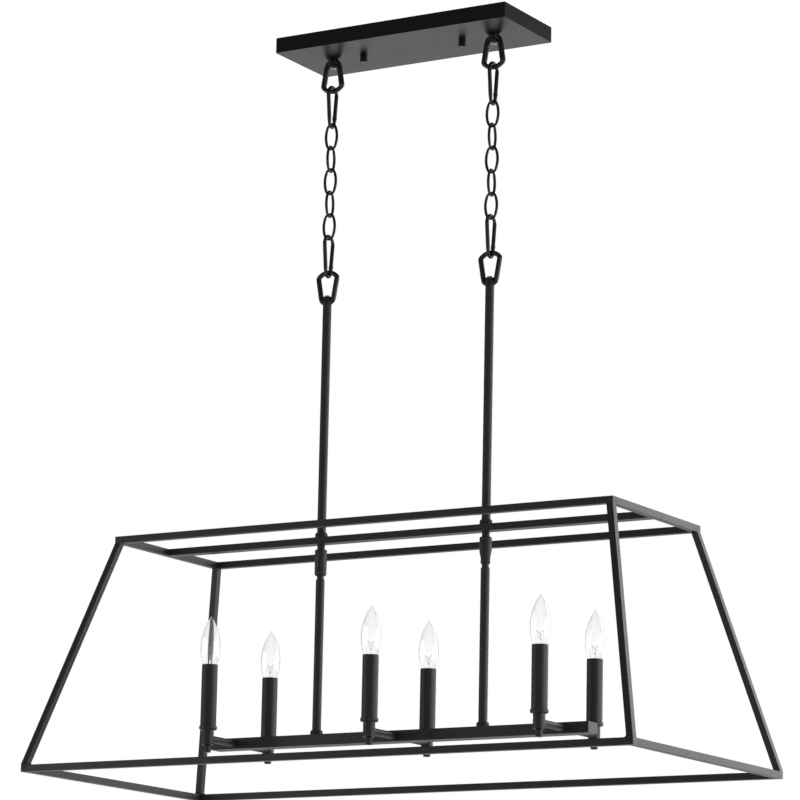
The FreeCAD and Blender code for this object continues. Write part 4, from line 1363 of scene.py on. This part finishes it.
@dataclass
class Stems:
    """Two upper pipes with their check rings, and the lower pipes below the couplings."""

    diameter: float = 14.2
    bore: float = 9.2
    nipple: float = 12.3
    collar: float = 20.3
    collar_top: float = 15.2
    collar_band: float = 4.0
    collar_slip: float = 0.1
    collar_edge: float = 0.3
    collar_groove: float = 2.6
    groove_depth: float = 0.7
    groove_rise: float = 0.4
    crown_steps: int = 8
    neck: float = 11.2
    neck_reveal: float = 5.7
    spigot: float = 9.0
    spigot_bore: float = 7.0
    shoulder_cut: float = 1.2
    ease: float = 0.5

    def build(self, turnery: Turnery) -> int:
        """Turns the pipes and rings and sets them at the two hangers.

        Args:
            turnery: Sets turned pieces at their stations.

        Returns:
            How many stems were made.
        """
        hangers = []
        for side in Side:
            low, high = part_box(f"upper_stem_{side.value}")
            hangers.append((Vector(((low.x + high.x) / 2, (low.y + high.y) / 2, 0)), 0.0))
        self._upper(turnery, hangers)
        self._lower(turnery, hangers)
        self._collars(turnery, hangers)
        return len(hangers)

    def _upper(self, turnery: Turnery, hangers: list[tuple[Vector, float]]) -> None:
        """Upper pipes, each ending in a nipple through the centre bar.

        Args:
            turnery: Sets turned pieces at their stations.
            hangers: The axis of each stem.
        """
        low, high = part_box("upper_stem_left")
        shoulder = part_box("top_centre_bar")[1].z
        bore, pipe, nipple = (d / 2 * MM for d in (self.bore, self.diameter, self.nipple))
        outline = [(bore, high.z), (pipe, high.z), (pipe, shoulder), (nipple, shoulder)]
        outline += [(nipple, low.z), (bore, low.z)]
        mesh = turned_mesh("upper_stem", eased(outline, self.ease * MM, True), True)
        nodes = ("upper_stem_left", "upper_stem_right")
        turnery.set_out("upper_stems", mesh, hangers, POWDER, "cage", nodes)

    def _lower(self, turnery: Turnery, hangers: list[tuple[Vector, float]]) -> None:
        """Lower pipes, from the neck in the coupling down to the candle bar.

        Args:
            turnery: Sets turned pieces at their stations.
            hangers: The axis of each stem.
        """
        low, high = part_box("lower_stem_left")
        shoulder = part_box("stem_coupling_left")[0].z - self.neck_reveal * MM
        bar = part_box("candle_bar")[1].z
        bore, neck, pipe, spigot = (
            d / 2 * MM for d in (self.spigot_bore, self.neck, self.diameter, self.spigot)
        )
        slant = self.shoulder_cut * MM
        outline = [(bore, high.z), (neck, high.z), (neck, shoulder), (pipe - slant, shoulder)]
        outline += [(pipe, shoulder - slant), (pipe, bar)]
        outline += [(spigot, bar), (spigot, low.z), (bore, low.z)]
        mesh = turned_mesh("lower_stem", eased(outline, self.ease * MM, True), True)
        nodes = ("lower_stem_left", "lower_stem_right")
        turnery.set_out("lower_stems", mesh, hangers, POWDER, "cage", nodes)

    def _collars(self, turnery: Turnery, hangers: list[tuple[Vector, float]]) -> None:
        """Check rings, grooved and domed, that stand on the centre bar and on the candle bar.

        Args:
            turnery: Sets turned pieces at their stations.
            hangers: The axis of each stem.
        """
        low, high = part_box("stem_collars")
        levels = (low.z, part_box("top_centre_bar")[1].z)
        height = high.z - levels[1]
        inner, band = (self.diameter / 2 + self.collar_slip) * MM, self.collar / 2 * MM
        edge, groove, root = self.collar_edge * MM, self.collar_groove * MM, self.collar_band * MM
        outline = [(inner, 0.0), (band - edge, 0.0), (band, edge), (band, groove - edge)]
        outline += [(band - self.groove_depth * MM, groove), (band, groove + self.groove_rise * MM)]
        crown = Vector((band - self.collar_top / 2 * MM, height - root))
        outline += [
            (band - crown.x * (1 - math.cos(a)), root + crown.y * math.sin(a))
            for a in (math.pi / 2 * i / self.crown_steps for i in range(self.crown_steps + 1))
        ]
        outline.append((inner, height))
        mesh = turned_mesh("stem_collar", outline, True)
        places = [
            (Vector((place.x, place.y, level)), 0.0) for place, _ in hangers for level in levels
        ]
        turnery.set_out(
            "stem_collars_turned", mesh, places, POWDER, "cage", ("stem_collars",)
        )


@dataclass
class Couplings:
    """Two sleeve couplings with spanner flats at the foot and a tapped hole for a set screw.

    Each one's flats face where it came to rest when it was screwed home.
    """

    diameter: float = 19.5
    foot_cut: float = 2.0
    head_cut: float = 1.0
    upper_bore: float = 12.5
    lower_bore: float = 11.5
    flats: float = 14.8
    flats_height: float = 9.8
    flats_run: float = 10.0
    screw: float = 5.2
    screw_height: float = 10.0
    ease: float = 0.4
    segments: int = 96
    hole_segments: int = 32
    turns: tuple[tuple[Side, float], ...] = ((Side.LEFT, -119.0), (Side.RIGHT, -149.0))

    def build(self) -> int:
        """Turns each coupling and cuts its flats and its hole.

        Returns:
            How many couplings were made.
        """
        for side, turn in self.turns:
            node = f"stem_coupling_{side.value}"
            low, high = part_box(node)
            foot = Vector(((low.x + high.x) / 2, (low.y + high.y) / 2, low.z))
            mesh = turned_mesh(node, self._outline(high.z - low.z), True, self.segments)
            finish_with(mesh, POWDER.material())
            obj = new_object(f"{node}_turned", mesh)
            cutter = self._cutter(math.radians(turn))
            cut = obj.modifiers.new("cuts", "BOOLEAN")
            cut.object, cut.operation, cut.solver = cutter, "DIFFERENCE", "EXACT"
            cut.use_self = True
            apply_modifiers(obj)
            bpy.data.objects.remove(cutter)
            obj.data.transform(Matrix.Translation(foot))
            keep_flat(obj)
            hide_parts(node)
            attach(obj, "cage")
        return len(self.turns)

    def _outline(self, length: float) -> Outline:
        """The wall, with its foot at height 0 and a wider bore above than below.

        Args:
            length: The coupling's length, in metres.

        Returns:
            The profile.
        """
        outer, foot, head = self.diameter / 2 * MM, self.foot_cut * MM, self.head_cut * MM
        upper, lower, step = self.upper_bore / 2 * MM, self.lower_bore / 2 * MM, length / 2
        corners = [(lower, 0.0), (outer - foot, 0.0), (outer, foot), (outer, length - head)]
        corners += [(outer - head, length), (upper, length), (upper, step), (lower, step)]
        return eased(corners, self.ease * MM, True)

    def _cutter(self, turn: float) -> bpy.types.Object:
        """Two blocks beside the flats and a round bar through the front, as one object.

        Args:
            turn: The flats' turn about Z, in radians.

        Returns:
            The cutter, with its foot at height 0.
        """
        bm = bmesh.new()
        width, face = self.diameter * MM, self.flats / 2 * MM
        slope = self.flats_run * MM / (self.diameter / 2 * MM - face)
        top = self.flats_height * MM
        profile = [(face, -width), (face, top)]
        profile += [(width, top + slope * (width - face)), (width, -width)]
        spin = Matrix.Rotation(turn, 3, "Z")
        for sign in (-1, 1):
            ends = [
                [bm.verts.new(spin @ Vector((sign * x, y, z))) for x, z in profile]
                for y in (-width, width)
            ]
            bm.faces.new(ends[0])
            bm.faces.new(ends[1][::-1])
            for a in range(len(profile)):
                b = (a + 1) % len(profile)
                bm.faces.new([ends[0][a], ends[0][b], ends[1][b], ends[1][a]])
        bar = Matrix.Translation((0, -width / 2, self.screw_height * MM))
        bmesh.ops.create_cone(
            bm,
            cap_ends=True,
            segments=self.hole_segments,
            radius1=self.screw / 2 * MM,
            radius2=self.screw / 2 * MM,
            depth=width,
            matrix=bar @ Matrix.Rotation(math.pi / 2, 4, "X"),
        )
        return new_object("coupling_cutter", mesh_from(bm, "coupling_cutter"))


@dataclass
class Candles:
    """Six arms with their ring nuts, cups, finials and sleeves."""

    lamp_count: int = 6
    arm: float = 11.5
    arm_seat: float = 6.5
    arm_ease: float = 0.2
    ring_nut: float = 14.0
    ring_nut_length: float = 4.0
    ring_nut_slip: float = 0.2
    ring_nut_ease: float = 0.8
    column: float = 19.0
    dish: float = 28.4
    dish_height: float = 6.0
    dish_floor: float = 1.5
    dish_round: float = 2.0
    round_steps: int = 6
    tube_hole: float = 9.8
    finial: float = 11.5
    finial_ease: float = 1.4
    sleeve: float = 25.4
    sleeve_wall: float = 1.0
    sleeve_slip: float = 0.1
    sleeve_ease: float = 0.3
    sleeve_segments: int = 80
    cup_ease: float = 0.5
    stations: list[tuple[Vector, float]] = field(default_factory=list)

    def find_stations(self) -> None:
        """Reads each candle's axis from its lamp, with back candles as made and front turned."""
        for number in range(1, self.lamp_count + 1):
            low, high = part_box(f"bulb_glass_{number}")
            centre = (low + high) / 2
            turn = 0.0 if centre.y > 0 else math.pi
            self.stations.append((Vector((centre.x, centre.y, 0)), turn))

    def build(self, turnery: Turnery) -> int:
        """Turns every piece and sets it at the six stations.

        Args:
            turnery: Sets turned pieces at their stations.

        Returns:
            How many candles were made.
        """
        self.find_stations()
        pieces = {
            "candle_arms": (self._arm(), POWDER, "black_metal"),
            "arm_ring_nuts": (self._ring_nut(), POWDER, "black_metal"),
            "candle_cups": (self._cup(), POWDER, "black_metal"),
            "cup_finials": (self._finial(), POWDER, "black_metal"),
            "candle_sleeves": (self._sleeve(), SLEEVE, "black_sleeve"),
        }
        for node, (mesh, finish, slot) in pieces.items():
            turnery.set_out(f"{node}_turned", mesh, self.stations, finish, "cage", (node,))
        return len(self.stations)

    def _towards_bar(self, mesh: bpy.types.Mesh) -> bpy.types.Mesh:
        """Lays a piece turned on Z along -Y at arm level, its height 0 on the cup's axis.

        Args:
            mesh: The piece, whose points are moved.

        Returns:
            The same mesh.
        """
        low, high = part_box("candle_arms")
        level = Matrix.Translation((0, 0, (low.z + high.z) / 2))
        mesh.transform(level @ Matrix.Rotation(math.pi / 2, 4, "X"))
        return mesh

    def _reach(self) -> float:
        """The distance from a cup's axis to the candle bar's face."""
        return abs(self.stations[0][0].y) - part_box("candle_bar")[1].y

    def _arm(self) -> bpy.types.Mesh:
        """A round arm from the cup's bore to the bar's face.

        Returns:
            The arm at its level, on a cup's axis.
        """
        radius, start, end = self.arm / 2 * MM, self.arm_seat * MM, self._reach()
        outline = [(0.0, start), (radius, start), (radius, end), (0.0, end)]
        mesh = turned_mesh("arm", eased(outline, self.arm_ease * MM, False), False)
        return self._towards_bar(mesh)

    def _ring_nut(self) -> bpy.types.Mesh:
        """A round nut on the arm, against the bar's face.

        Returns:
            The nut at the arm's level, on a cup's axis.
        """
        end = self._reach()
        start = end - self.ring_nut_length * MM
        outline = tube_outline(self.ring_nut, self.arm + self.ring_nut_slip, start, end)
        mesh = turned_mesh("ring_nut", eased(outline, self.ring_nut_ease * MM, True), True)
        return self._towards_bar(mesh)

    def _cup(self) -> bpy.types.Mesh:
        """A column under a dish with a rounded lower edge and a well for the sleeve.

        Returns:
            The cup at its level.
        """
        low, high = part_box("candle_cups")
        column, dish, hole = self.column / 2 * MM, self.dish / 2 * MM, self.tube_hole / 2 * MM
        well = (self.sleeve / 2 + self.sleeve_slip) * MM
        under = high.z - self.dish_height * MM
        floor = under + self.dish_floor * MM
        bend, ease = self.dish_round * MM, self.cup_ease * MM
        curve = [
            (dish - bend + bend * math.sin(a), under + bend - bend * math.cos(a))
            for a in (math.pi / 2 * i / self.round_steps for i in range(self.round_steps + 1))
        ]
        stalk = eased([(hole, low.z), (column, low.z), (column, under)], ease, False)
        rim = [curve[-1], (dish, high.z), (well, high.z), (well, floor), (hole, floor)]
        return turned_mesh("cup", stalk + curve + eased(rim, ease, False)[1:], True)

    def _finial(self) -> bpy.types.Mesh:
        """A barrel nut that closes the cup from below.

        Returns:
            The nut at its level.
        """
        low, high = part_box("cup_finials")
        radius = self.finial / 2 * MM
        outline = [(0.0, low.z), (radius, low.z), (radius, high.z), (0.0, high.z)]
        return turned_mesh("finial", eased(outline, self.finial_ease * MM, False), False)

    def _sleeve(self) -> bpy.types.Mesh:
        """A thin tube, its cut ends lightly broken.

        Returns:
            The sleeve at its level.
        """
        low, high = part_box("candle_sleeves")
        outline = tube_outline(self.sleeve, self.sleeve - 2 * self.sleeve_wall, low.z, high.z)
        outline = eased(outline, self.sleeve_ease * MM, True)
        return turned_mesh("sleeve", outline, True, self.sleeve_segments)


# ---- lamps --------------------------------------------------------------------------------


@dataclass
class Lamps:
    """Clear torpedo lamps with the glass mount, leads and coil that show inside them.

    The mount's flare and bead are radii, with their heights above the sleeve. The lines of a
    lead and of a support run in millimetres from the middle of the mount's top, and their
    partners are the same lines turned half round.
    """

    belly: float = 31.75
    belly_height: float = 28.0
    reveal: float = 78.0
    rim: float = 22.0
    neck: float = 10.5
    neck_drop: float = 5.9
    tip: float = 3.2
    tip_length: float = 2.5
    wall: float = 0.7
    shoulder_steps: int = 12
    torpedo_steps: int = 28
    segments: int = 72
    mount_height: float = 9.0
    mount_flare: tuple[tuple[float, float], ...] = ((3.915, -6.0), (2.61, -3.5), (1.625, 0.0))
    mount_bead: tuple[tuple[float, float], ...] = ((1.25, 7.0), (1.5, 8.2))
    mount_segments: int = 24
    lead_line: Line = ((1.0, 0.0, -6.0), (1.4, 0.0, 0.0), (5.5, 1.0, 13.0))
    support_line: Line = ((0.0, 0.5, -2.0), (1.2, -3.0, 8.0))
    lead_wire: float = 0.5
    lead_sides: float = 8.0
    coil: float = 0.9
    coil_pitch: float = 0.45
    coil_wire: float = 0.14
    coil_points: float = 8.0

    def build(self, turnery: Turnery, wires: BentWire, coils: CoiledWire, candles: Candles) -> int:
        """Blows the lamps and mounts their filaments.

        Args:
            turnery: Sets pieces at their stations.
            wires: The tree that sweeps a wire.
            coils: The tree that winds a coil.
            candles: The candles, which know the stations.

        Returns:
            How many lamps were made.
        """
        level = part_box("candle_sleeves")[1].z
        for number, place in enumerate(candles.stations, start=1):
            node = f"bulb_glass_{number}"
            mesh = turned_mesh(node, self._glass_outline(node, level), True, self.segments)
            name = f"lamp_glass_{number}"
            turnery.set_out(name, mesh, [place], GLASS, "cage", (node,))
        outline = self._mount_outline(level)
        inside = (
            ("mounts", turned_mesh("lamp_mount", outline, False, self.mount_segments), MOUNT_GLASS),
            ("leads", self._leads(level, wires), LEAD_WIRE),
            ("coils", self._coil(level, coils), TUNGSTEN),
        )
        for name, mesh, finish in inside:
            turnery.set_out(f"lamp_{name}", mesh, candles.stations, finish, "cage")
        return len(candles.stations)

    def _glass_outline(self, node: str, level: float) -> Outline:
        """The glass wall's closed profile, outside up and inside down.

        Args:
            node: The CAD node whose place the glass takes.
            level: The height of the sleeve's top.

        Returns:
            The profile.
        """
        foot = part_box(node)[0].z
        outer = self._skin(level, foot, 0.0)
        inner = self._skin(level, foot, self.wall)
        peak = (0.0, level + self.reveal * MM)
        return outer + [peak, (0.0, inner[-1][1])] + inner[::-1]

    def _skin(self, level: float, foot: float, inset: float) -> Outline:
        """One face of the glass, from the neck up to where the tip starts.

        Args:
            level: The height of the sleeve's top.
            foot: The height of the glass's lower end.
            inset: How far the face lies inside the outer one, in millimetres.

        Returns:
            The face's profile: a straight neck, and two arcs that meet at the belly.
        """
        belly, rim, neck = ((d / 2 - inset) * MM for d in (self.belly, self.rim, self.neck))
        tip, height = self.tip / 2 * MM, self.belly_height * MM
        top = (self.reveal - self.tip_length) * MM
        lower = ((belly - rim) ** 2 + height**2) / (2 * (belly - rim))
        upper = ((belly - tip) ** 2 + (top - height) ** 2) / (2 * (belly - tip))
        start, end = -math.asin(height / lower), math.acos((upper - belly + tip) / upper)
        turns = [
            (lower, start * (1 - i / self.shoulder_steps)) for i in range(self.shoulder_steps + 1)
        ]
        turns += [(upper, end * i / self.torpedo_steps) for i in range(1, self.torpedo_steps + 1)]
        return [(neck, foot), (neck, level - self.neck_drop * MM)] + [
            (belly - radius + radius * math.cos(a), level + height + radius * math.sin(a))
            for radius, a in turns
        ]

    def _mount_outline(self, level: float) -> Outline:
        """The pressed glass mount: a flare in the neck that narrows to a rod with a bead.

        Args:
            level: The height of the sleeve's top.

        Returns:
            The profile.
        """
        foot = (0.0, self.mount_flare[0][1])
        profile = (foot, *self.mount_flare, *self.mount_bead, (0.0, self.mount_height))
        return [(radius * MM, level + height * MM) for radius, height in profile]

    def _inside(self, point: tuple[float, float, float], sign: int, level: float) -> Vector:
        """Places a point of the lamp's inside.

        Args:
            point: The point, in millimetres from the middle of the mount's top.
            sign: -1 to turn it half round, or 1.
            level: The height of the sleeve's top.

        Returns:
            The point on the lamp's own axis, in metres.
        """
        x, y, z = point
        return Vector((sign * x * MM, sign * y * MM, level + (self.mount_height + z) * MM))

    def _leads(self, level: float, wires: BentWire) -> bpy.types.Mesh:
        """Two leads that spread from the mount and two coil supports.

        Args:
            level: The height of the sleeve's top.
            wires: The tree that sweeps a wire.

        Returns:
            The four wires of one lamp.
        """
        lines = [
            [self._inside(point, sign, level) for point in line]
            for sign in (-1, 1)
            for line in (self.lead_line, self.support_line)
        ]
        sizes = {"Wire Diameter": self.lead_wire * MM, "Sides": self.lead_sides}
        return self._drawn("lead_pattern", lines, wires, sizes, LEAD_WIRE)

    def _coil(self, level: float, coils: CoiledWire) -> bpy.types.Mesh:
        """The coiled filament, strung between the leads over the supports.

        Args:
            level: The height of the sleeve's top.
            coils: The tree that winds a coil.

        Returns:
            The coil of one lamp.
        """
        lead, support = self.lead_line[-1], self.support_line[-1]
        stops = ((lead, -1), (support, -1), (support, 1), (lead, 1))
        string = [self._inside(point, sign, level) for point, sign in stops]
        sizes = {
            "Coil Diameter": self.coil * MM,
            "Pitch": self.coil_pitch * MM,
            "Wire Diameter": self.coil_wire * MM,
            "Points Per Turn": self.coil_points,
        }
        return self._drawn("coil_pattern", [string], coils, sizes, TUNGSTEN)

    def _drawn(
        self,
        name: str,
        lines: list[list[Vector]],
        recipe: GeometryRecipe,
        sizes: dict[str, float],
        finish: Finish,
    ) -> bpy.types.Mesh:
        """Sweeps or winds wire along lines.

        Args:
            name: The mesh's name.
            lines: The lines.
            recipe: The tree that does it.
            sizes: The tree's sizes.
            finish: What the wire is made of.

        Returns:
            The wire.
        """
        obj = new_object(name, line_mesh(name, lines))
        recipe.run(obj, {**sizes, "Finish": finish.material()})
        mesh = obj.data
        bpy.data.objects.remove(obj)
        return mesh


# ---- folded and welded pieces -------------------------------------------------------------


@dataclass
class BarWork:
    """Folded, cut and welded steel, copied from its CAD nodes with coated, eased edges."""

    edge: float = 0.3
    pan_edge: float = 0.7
    edge_segments: int = 2
    flat_angle: float = 1.0

    def build(self) -> int:
        """Dresses the canopy, the cage and the candle bar.

        Returns:
            How many nodes were dressed.
        """
        ends = [side.value for side in Side]
        rails = [f"top_rail_{n}" for n in ("front", "back", *ends)]
        rails += [f"bottom_rail_{n}" for n in ("front", "back", *ends)]
        legs = [f"leg_{depth}_{end}" for depth in ("front", "back") for end in ends]
        bars = (*rails, *legs, "top_centre_bar", "candle_bar")
        for node in bars:
            self.dress(node, "cage", POWDER, self.edge)
        self.dress("canopy_pan", "ceiling_mount", SHADED_PAN_POWDER, self.pan_edge)
        self.dress("canopy_nuts", "ceiling_mount", SHADED_PAN_POWDER, self.edge)
        return len(bars) + 2

    def dress(self, node: str, body: str, finish: Finish, edge: float) -> None:
        """Copies a node, joins its loose triangles and eases its sharp edges.

        Args:
            node: The CAD node to stand for.
            body: The CAD body that it rides on.
            finish: What it is coated with.
            edge: How far the coat rounds each sharp edge, in millimetres.
        """
        bm = bmesh.new()
        bm.from_mesh(bpy.data.objects[node].data)
        bmesh.ops.remove_doubles(bm, verts=bm.verts, dist=MERGE_DISTANCE)
        bmesh.ops.dissolve_limit(
            bm, angle_limit=math.radians(self.flat_angle), verts=bm.verts, edges=bm.edges
        )
        mesh = mesh_from(bm, f"{node}_coated")
        finish_with(mesh, finish.material())
        obj = new_object(f"{node}_coated", mesh)
        bevel = obj.modifiers.new("edges", "BEVEL")
        bevel.width = edge * MM
        bevel.segments = self.edge_segments
        bevel.limit_method = "ANGLE"
        bevel.angle_limit = CORNER_ABOVE
        apply_modifiers(obj)
        keep_flat(obj)
        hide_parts(node)
        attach(obj, body)


@dataclass
class Hardware:
    """The fittings that keep their CAD shape and only get their finish."""

    finishes: dict[str, Finish] = field(
        default_factory=lambda: {
            "mounting_crossbar": ZINC,
            "crossbar_studs": ZINC,
            "loop_lock_nuts": ZINC,
            "socket_nipples": ZINC,
            "coupling_set_screws": POWDER,
            "lamp_sockets": PHENOLIC,
            "bulb_bases": BASE_METAL,
        }
    )

    def build(self, nodes: dict[str, bpy.types.Object]) -> int:
        """Sets the finish of each fitting.

        Args:
            nodes: The frame's CAD nodes by name.

        Returns:
            How many nodes were dressed.
        """
        for name, finish in self.finishes.items():
            for slot in nodes[name].material_slots:
                slot.material = finish.material()
        return len(self.finishes)


# ---- studio -------------------------------------------------------------------------------


WHITE = "#FFFFFF"
SENSOR_WIDTH = 36.0  # millimetres, the width that the lens is given for


def ray_mark(tree: bpy.types.NodeTree, *kinds: str) -> bpy.types.NodeSocket:
    """Marks the rays of some kinds, for what is shown to them alone.

    Args:
        tree: The material's or the world's tree.
        kinds: Names of the Light Path node's outputs.

    Returns:
        A socket that gives 1 where the ray is of one of the kinds, and else 0.
    """
    path = add_node(tree, "ShaderNodeLightPath").outputs
    mark = path[kinds[0]]
    for kind in kinds[1:]:
        either = {0: mark, 1: path[kind]}
        mark = add_node(tree, "ShaderNodeMath", {"operation": "MAXIMUM"}, either).outputs["Value"]
    return mark


@dataclass(frozen=True)
class SoftLight:
    """A soft rectangular studio lamp that faces the part's middle."""

    name: str
    place: tuple[float, float, float]
    width: float
    height: float
    power: float

    def build(self, target: Vector) -> None:
        """Hangs the lamp.

        Args:
            target: The point that it faces.
        """
        data = bpy.data.lights.new(self.name, "AREA")
        data.shape = "RECTANGLE"
        data.size = self.width
        data.size_y = self.height
        data.energy = self.power
        lamp = bpy.data.objects.new(self.name, data)
        lamp.visible_camera = False
        lamp.location = self.place
        lamp.rotation_euler = (target - Vector(self.place)).to_track_quat("-Z", "Y").to_euler()
        bpy.context.scene.collection.objects.link(lamp)


@dataclass
class Studio:
    """White surroundings, a pale floor, soft lamps and the camera.

    Lengths are in metres here, the camera's angles in radians and its lens in millimetres.
    """

    floor_level: float = -2.45
    floor_size: float = 80.0
    floor_colour: str = "#F0F0F0"
    floor_glow: float = 0.6
    fade_from: float = 2.0
    fade_to: float = 12.0
    ambient: float = 0.55
    overhead: float = 0.16
    dim_from: float = -0.02
    dim_to: float = 0.12
    camera_place: tuple[float, float, float] = (3.0080, -4.9927, -1.8188)
    yaw: float = -0.5437
    pitch: float = 0.204
    roll: float = 0.021
    lens: float = 167.3
    clip_end: float = 50.0
    lit_point: tuple[float, float, float] = (0.0, 0.0, -0.75)
    lights: tuple[SoftLight, ...] = (
        SoftLight("key_back_right", (1.35, 2.1, -0.45), 1.6, 1.6, 31.0),
        SoftLight("key_right", (3.6, 0.6, -0.8), 2.8, 1.8, 85.0),
        SoftLight("fill_left", (-3.0, -2.5, -1.0), 1.6, 1.2, 24.0),
    )

    def build(self) -> int:
        """Sets up the world, the floor, the lamps and the camera.

        Returns:
            How many studio lamps were hung.
        """
        self._world()
        self._floor()
        for light in self.lights:
            light.build(Vector(self.lit_point))
        self._camera()
        bpy.context.scene.view_settings.view_transform = "Standard"
        return len(self.lights)

    def _world(self) -> None:
        """White to the eye and through glass, grey as a light, and dim overhead in mirrors."""
        world = bpy.data.worlds.new("white_surroundings")
        world.use_nodes = True
        tree = world.node_tree
        tree.nodes.clear()
        place = add_node(tree, "ShaderNodeTexCoord").outputs["Generated"]
        rise = add_node(tree, "ShaderNodeSeparateXYZ", inputs={"Vector": place}).outputs["Z"]
        dimming = add_node(
            tree,
            "ShaderNodeMapRange",
            inputs={
                0: rise,
                "From Min": self.dim_from,
                "From Max": self.dim_to,
                "To Min": 1.0,
                "To Max": self.overhead,
            },
        )
        light, mirrored, seen = (
            add_node(
                tree,
                "ShaderNodeBackground",
                inputs={"Color": linear(WHITE), "Strength": strength},
            ).outputs["Background"]
            for strength in (self.ambient, dimming.outputs["Result"], 1.0)
        )
        mirroring = ray_mark(tree, "Is Glossy Ray")
        indirect = add_node(
            tree, "ShaderNodeMixShader", inputs={0: mirroring, 1: light, 2: mirrored}
        ).outputs["Shader"]
        seeing = ray_mark(tree, "Is Camera Ray", "Is Transmission Ray")
        mixed = add_node(tree, "ShaderNodeMixShader", inputs={0: seeing, 1: indirect, 2: seen})
        add_node(tree, "ShaderNodeOutputWorld", inputs={"Surface": mixed.outputs["Shader"]})
        bpy.context.scene.world = world

    def _floor(self) -> None:
        """A pale floor that keeps the shadow, fades to white and is clear from below."""
        half = self.floor_size / 2
        mesh = bpy.data.meshes.new("floor")
        corners = [(-half, -half), (half, -half), (half, half), (-half, half)]
        mesh.from_pydata([(x, y, self.floor_level) for x, y in corners], [], [(0, 1, 2, 3)])
        floor = new_object("floor", mesh)
        material = bpy.data.materials.new("pale_floor")
        material.use_nodes = True
        tree = material.node_tree
        tree.nodes.clear()
        surface = add_node(
            tree, "ShaderNodeBsdfDiffuse", inputs={"Color": linear(self.floor_colour)}
        )
        seeing = ray_mark(tree, "Is Camera Ray", "Is Transmission Ray", "Is Glossy Ray")
        lift = add_node(
            tree, "ShaderNodeEmission", inputs={"Color": linear(WHITE), "Strength": seeing}
        )
        place = add_node(tree, "ShaderNodeTexCoord").outputs["Object"]
        away = add_node(tree, "ShaderNodeVectorMath", {"operation": "LENGTH"}, {0: place})
        fading = add_node(
            tree,
            "ShaderNodeMapRange",
            inputs={
                0: away.outputs["Value"],
                "From Min": self.fade_from,
                "From Max": self.fade_to,
                "To Min": self.floor_glow,
                "To Max": 1.0,
            },
        )
        glow = add_node(
            tree,
            "ShaderNodeMixShader",
            inputs={
                0: fading.outputs["Result"],
                1: surface.outputs["BSDF"],
                2: lift.outputs["Emission"],
            },
        )
        below = add_node(tree, "ShaderNodeNewGeometry").outputs["Backfacing"]
        clear = add_node(tree, "ShaderNodeBsdfTransparent").outputs["BSDF"]
        sided = add_node(
            tree, "ShaderNodeMixShader", inputs={0: below, 1: glow.outputs["Shader"], 2: clear}
        )
        add_node(tree, "ShaderNodeOutputMaterial", inputs={"Surface": sided.outputs["Shader"]})
        mesh.materials.append(material)

    def _camera(self) -> None:
        """The camera, a little below the cage and to its right, looking up."""
        data = bpy.data.cameras.new("camera")
        data.sensor_width = SENSOR_WIDTH
        data.lens = self.lens
        data.clip_end = self.clip_end
        camera = bpy.data.objects.new("camera", data)
        ahead = Vector((math.sin(self.yaw), math.cos(self.yaw), 0)) * math.cos(self.pitch)
        forward = ahead + Vector((0, 0, math.sin(self.pitch)))
        level = Vector((math.cos(self.yaw), -math.sin(self.yaw), 0))
        upright = level.cross(forward)
        right = level * math.cos(self.roll) + upright * math.sin(self.roll)
        up = upright * math.cos(self.roll) - level * math.sin(self.roll)
        axes = Matrix((right, up, -forward)).transposed().to_4x4()
        camera.matrix_world = Matrix.Translation(self.camera_place) @ axes
        bpy.context.scene.collection.objects.link(camera)
        bpy.context.scene.camera = camera


def main() -> None:
    """Loads the frame, builds each sub-assembly around it and sets up the studio."""
    logging.basicConfig(level=logging.INFO, format="%(name)s: %(message)s")
    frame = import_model()
    wires, coils, turnery = BentWire(), CoiledWire(), Turnery(AtStations())
    LOG.info("canopy, cage and candle bar: %d nodes", BarWork().build())
    LOG.info("hang loops: %d", HangLoops().build(wires, turnery))
    LOG.info("chain rings: %d", Chains().build(wires))
    LOG.info("stems: %d", Stems().build(turnery))
    LOG.info("couplings: %d", Couplings().build())
    candles = Candles()
    LOG.info("candles: %d", candles.build(turnery))
    LOG.info("lamps: %d", Lamps().build(turnery, wires, coils, candles))
    LOG.info("hardware: %d nodes", Hardware().build(frame["nodes"]))
    LOG.info("studio lamps: %d", Studio().build())


if __name__ == "__main__":
    main()
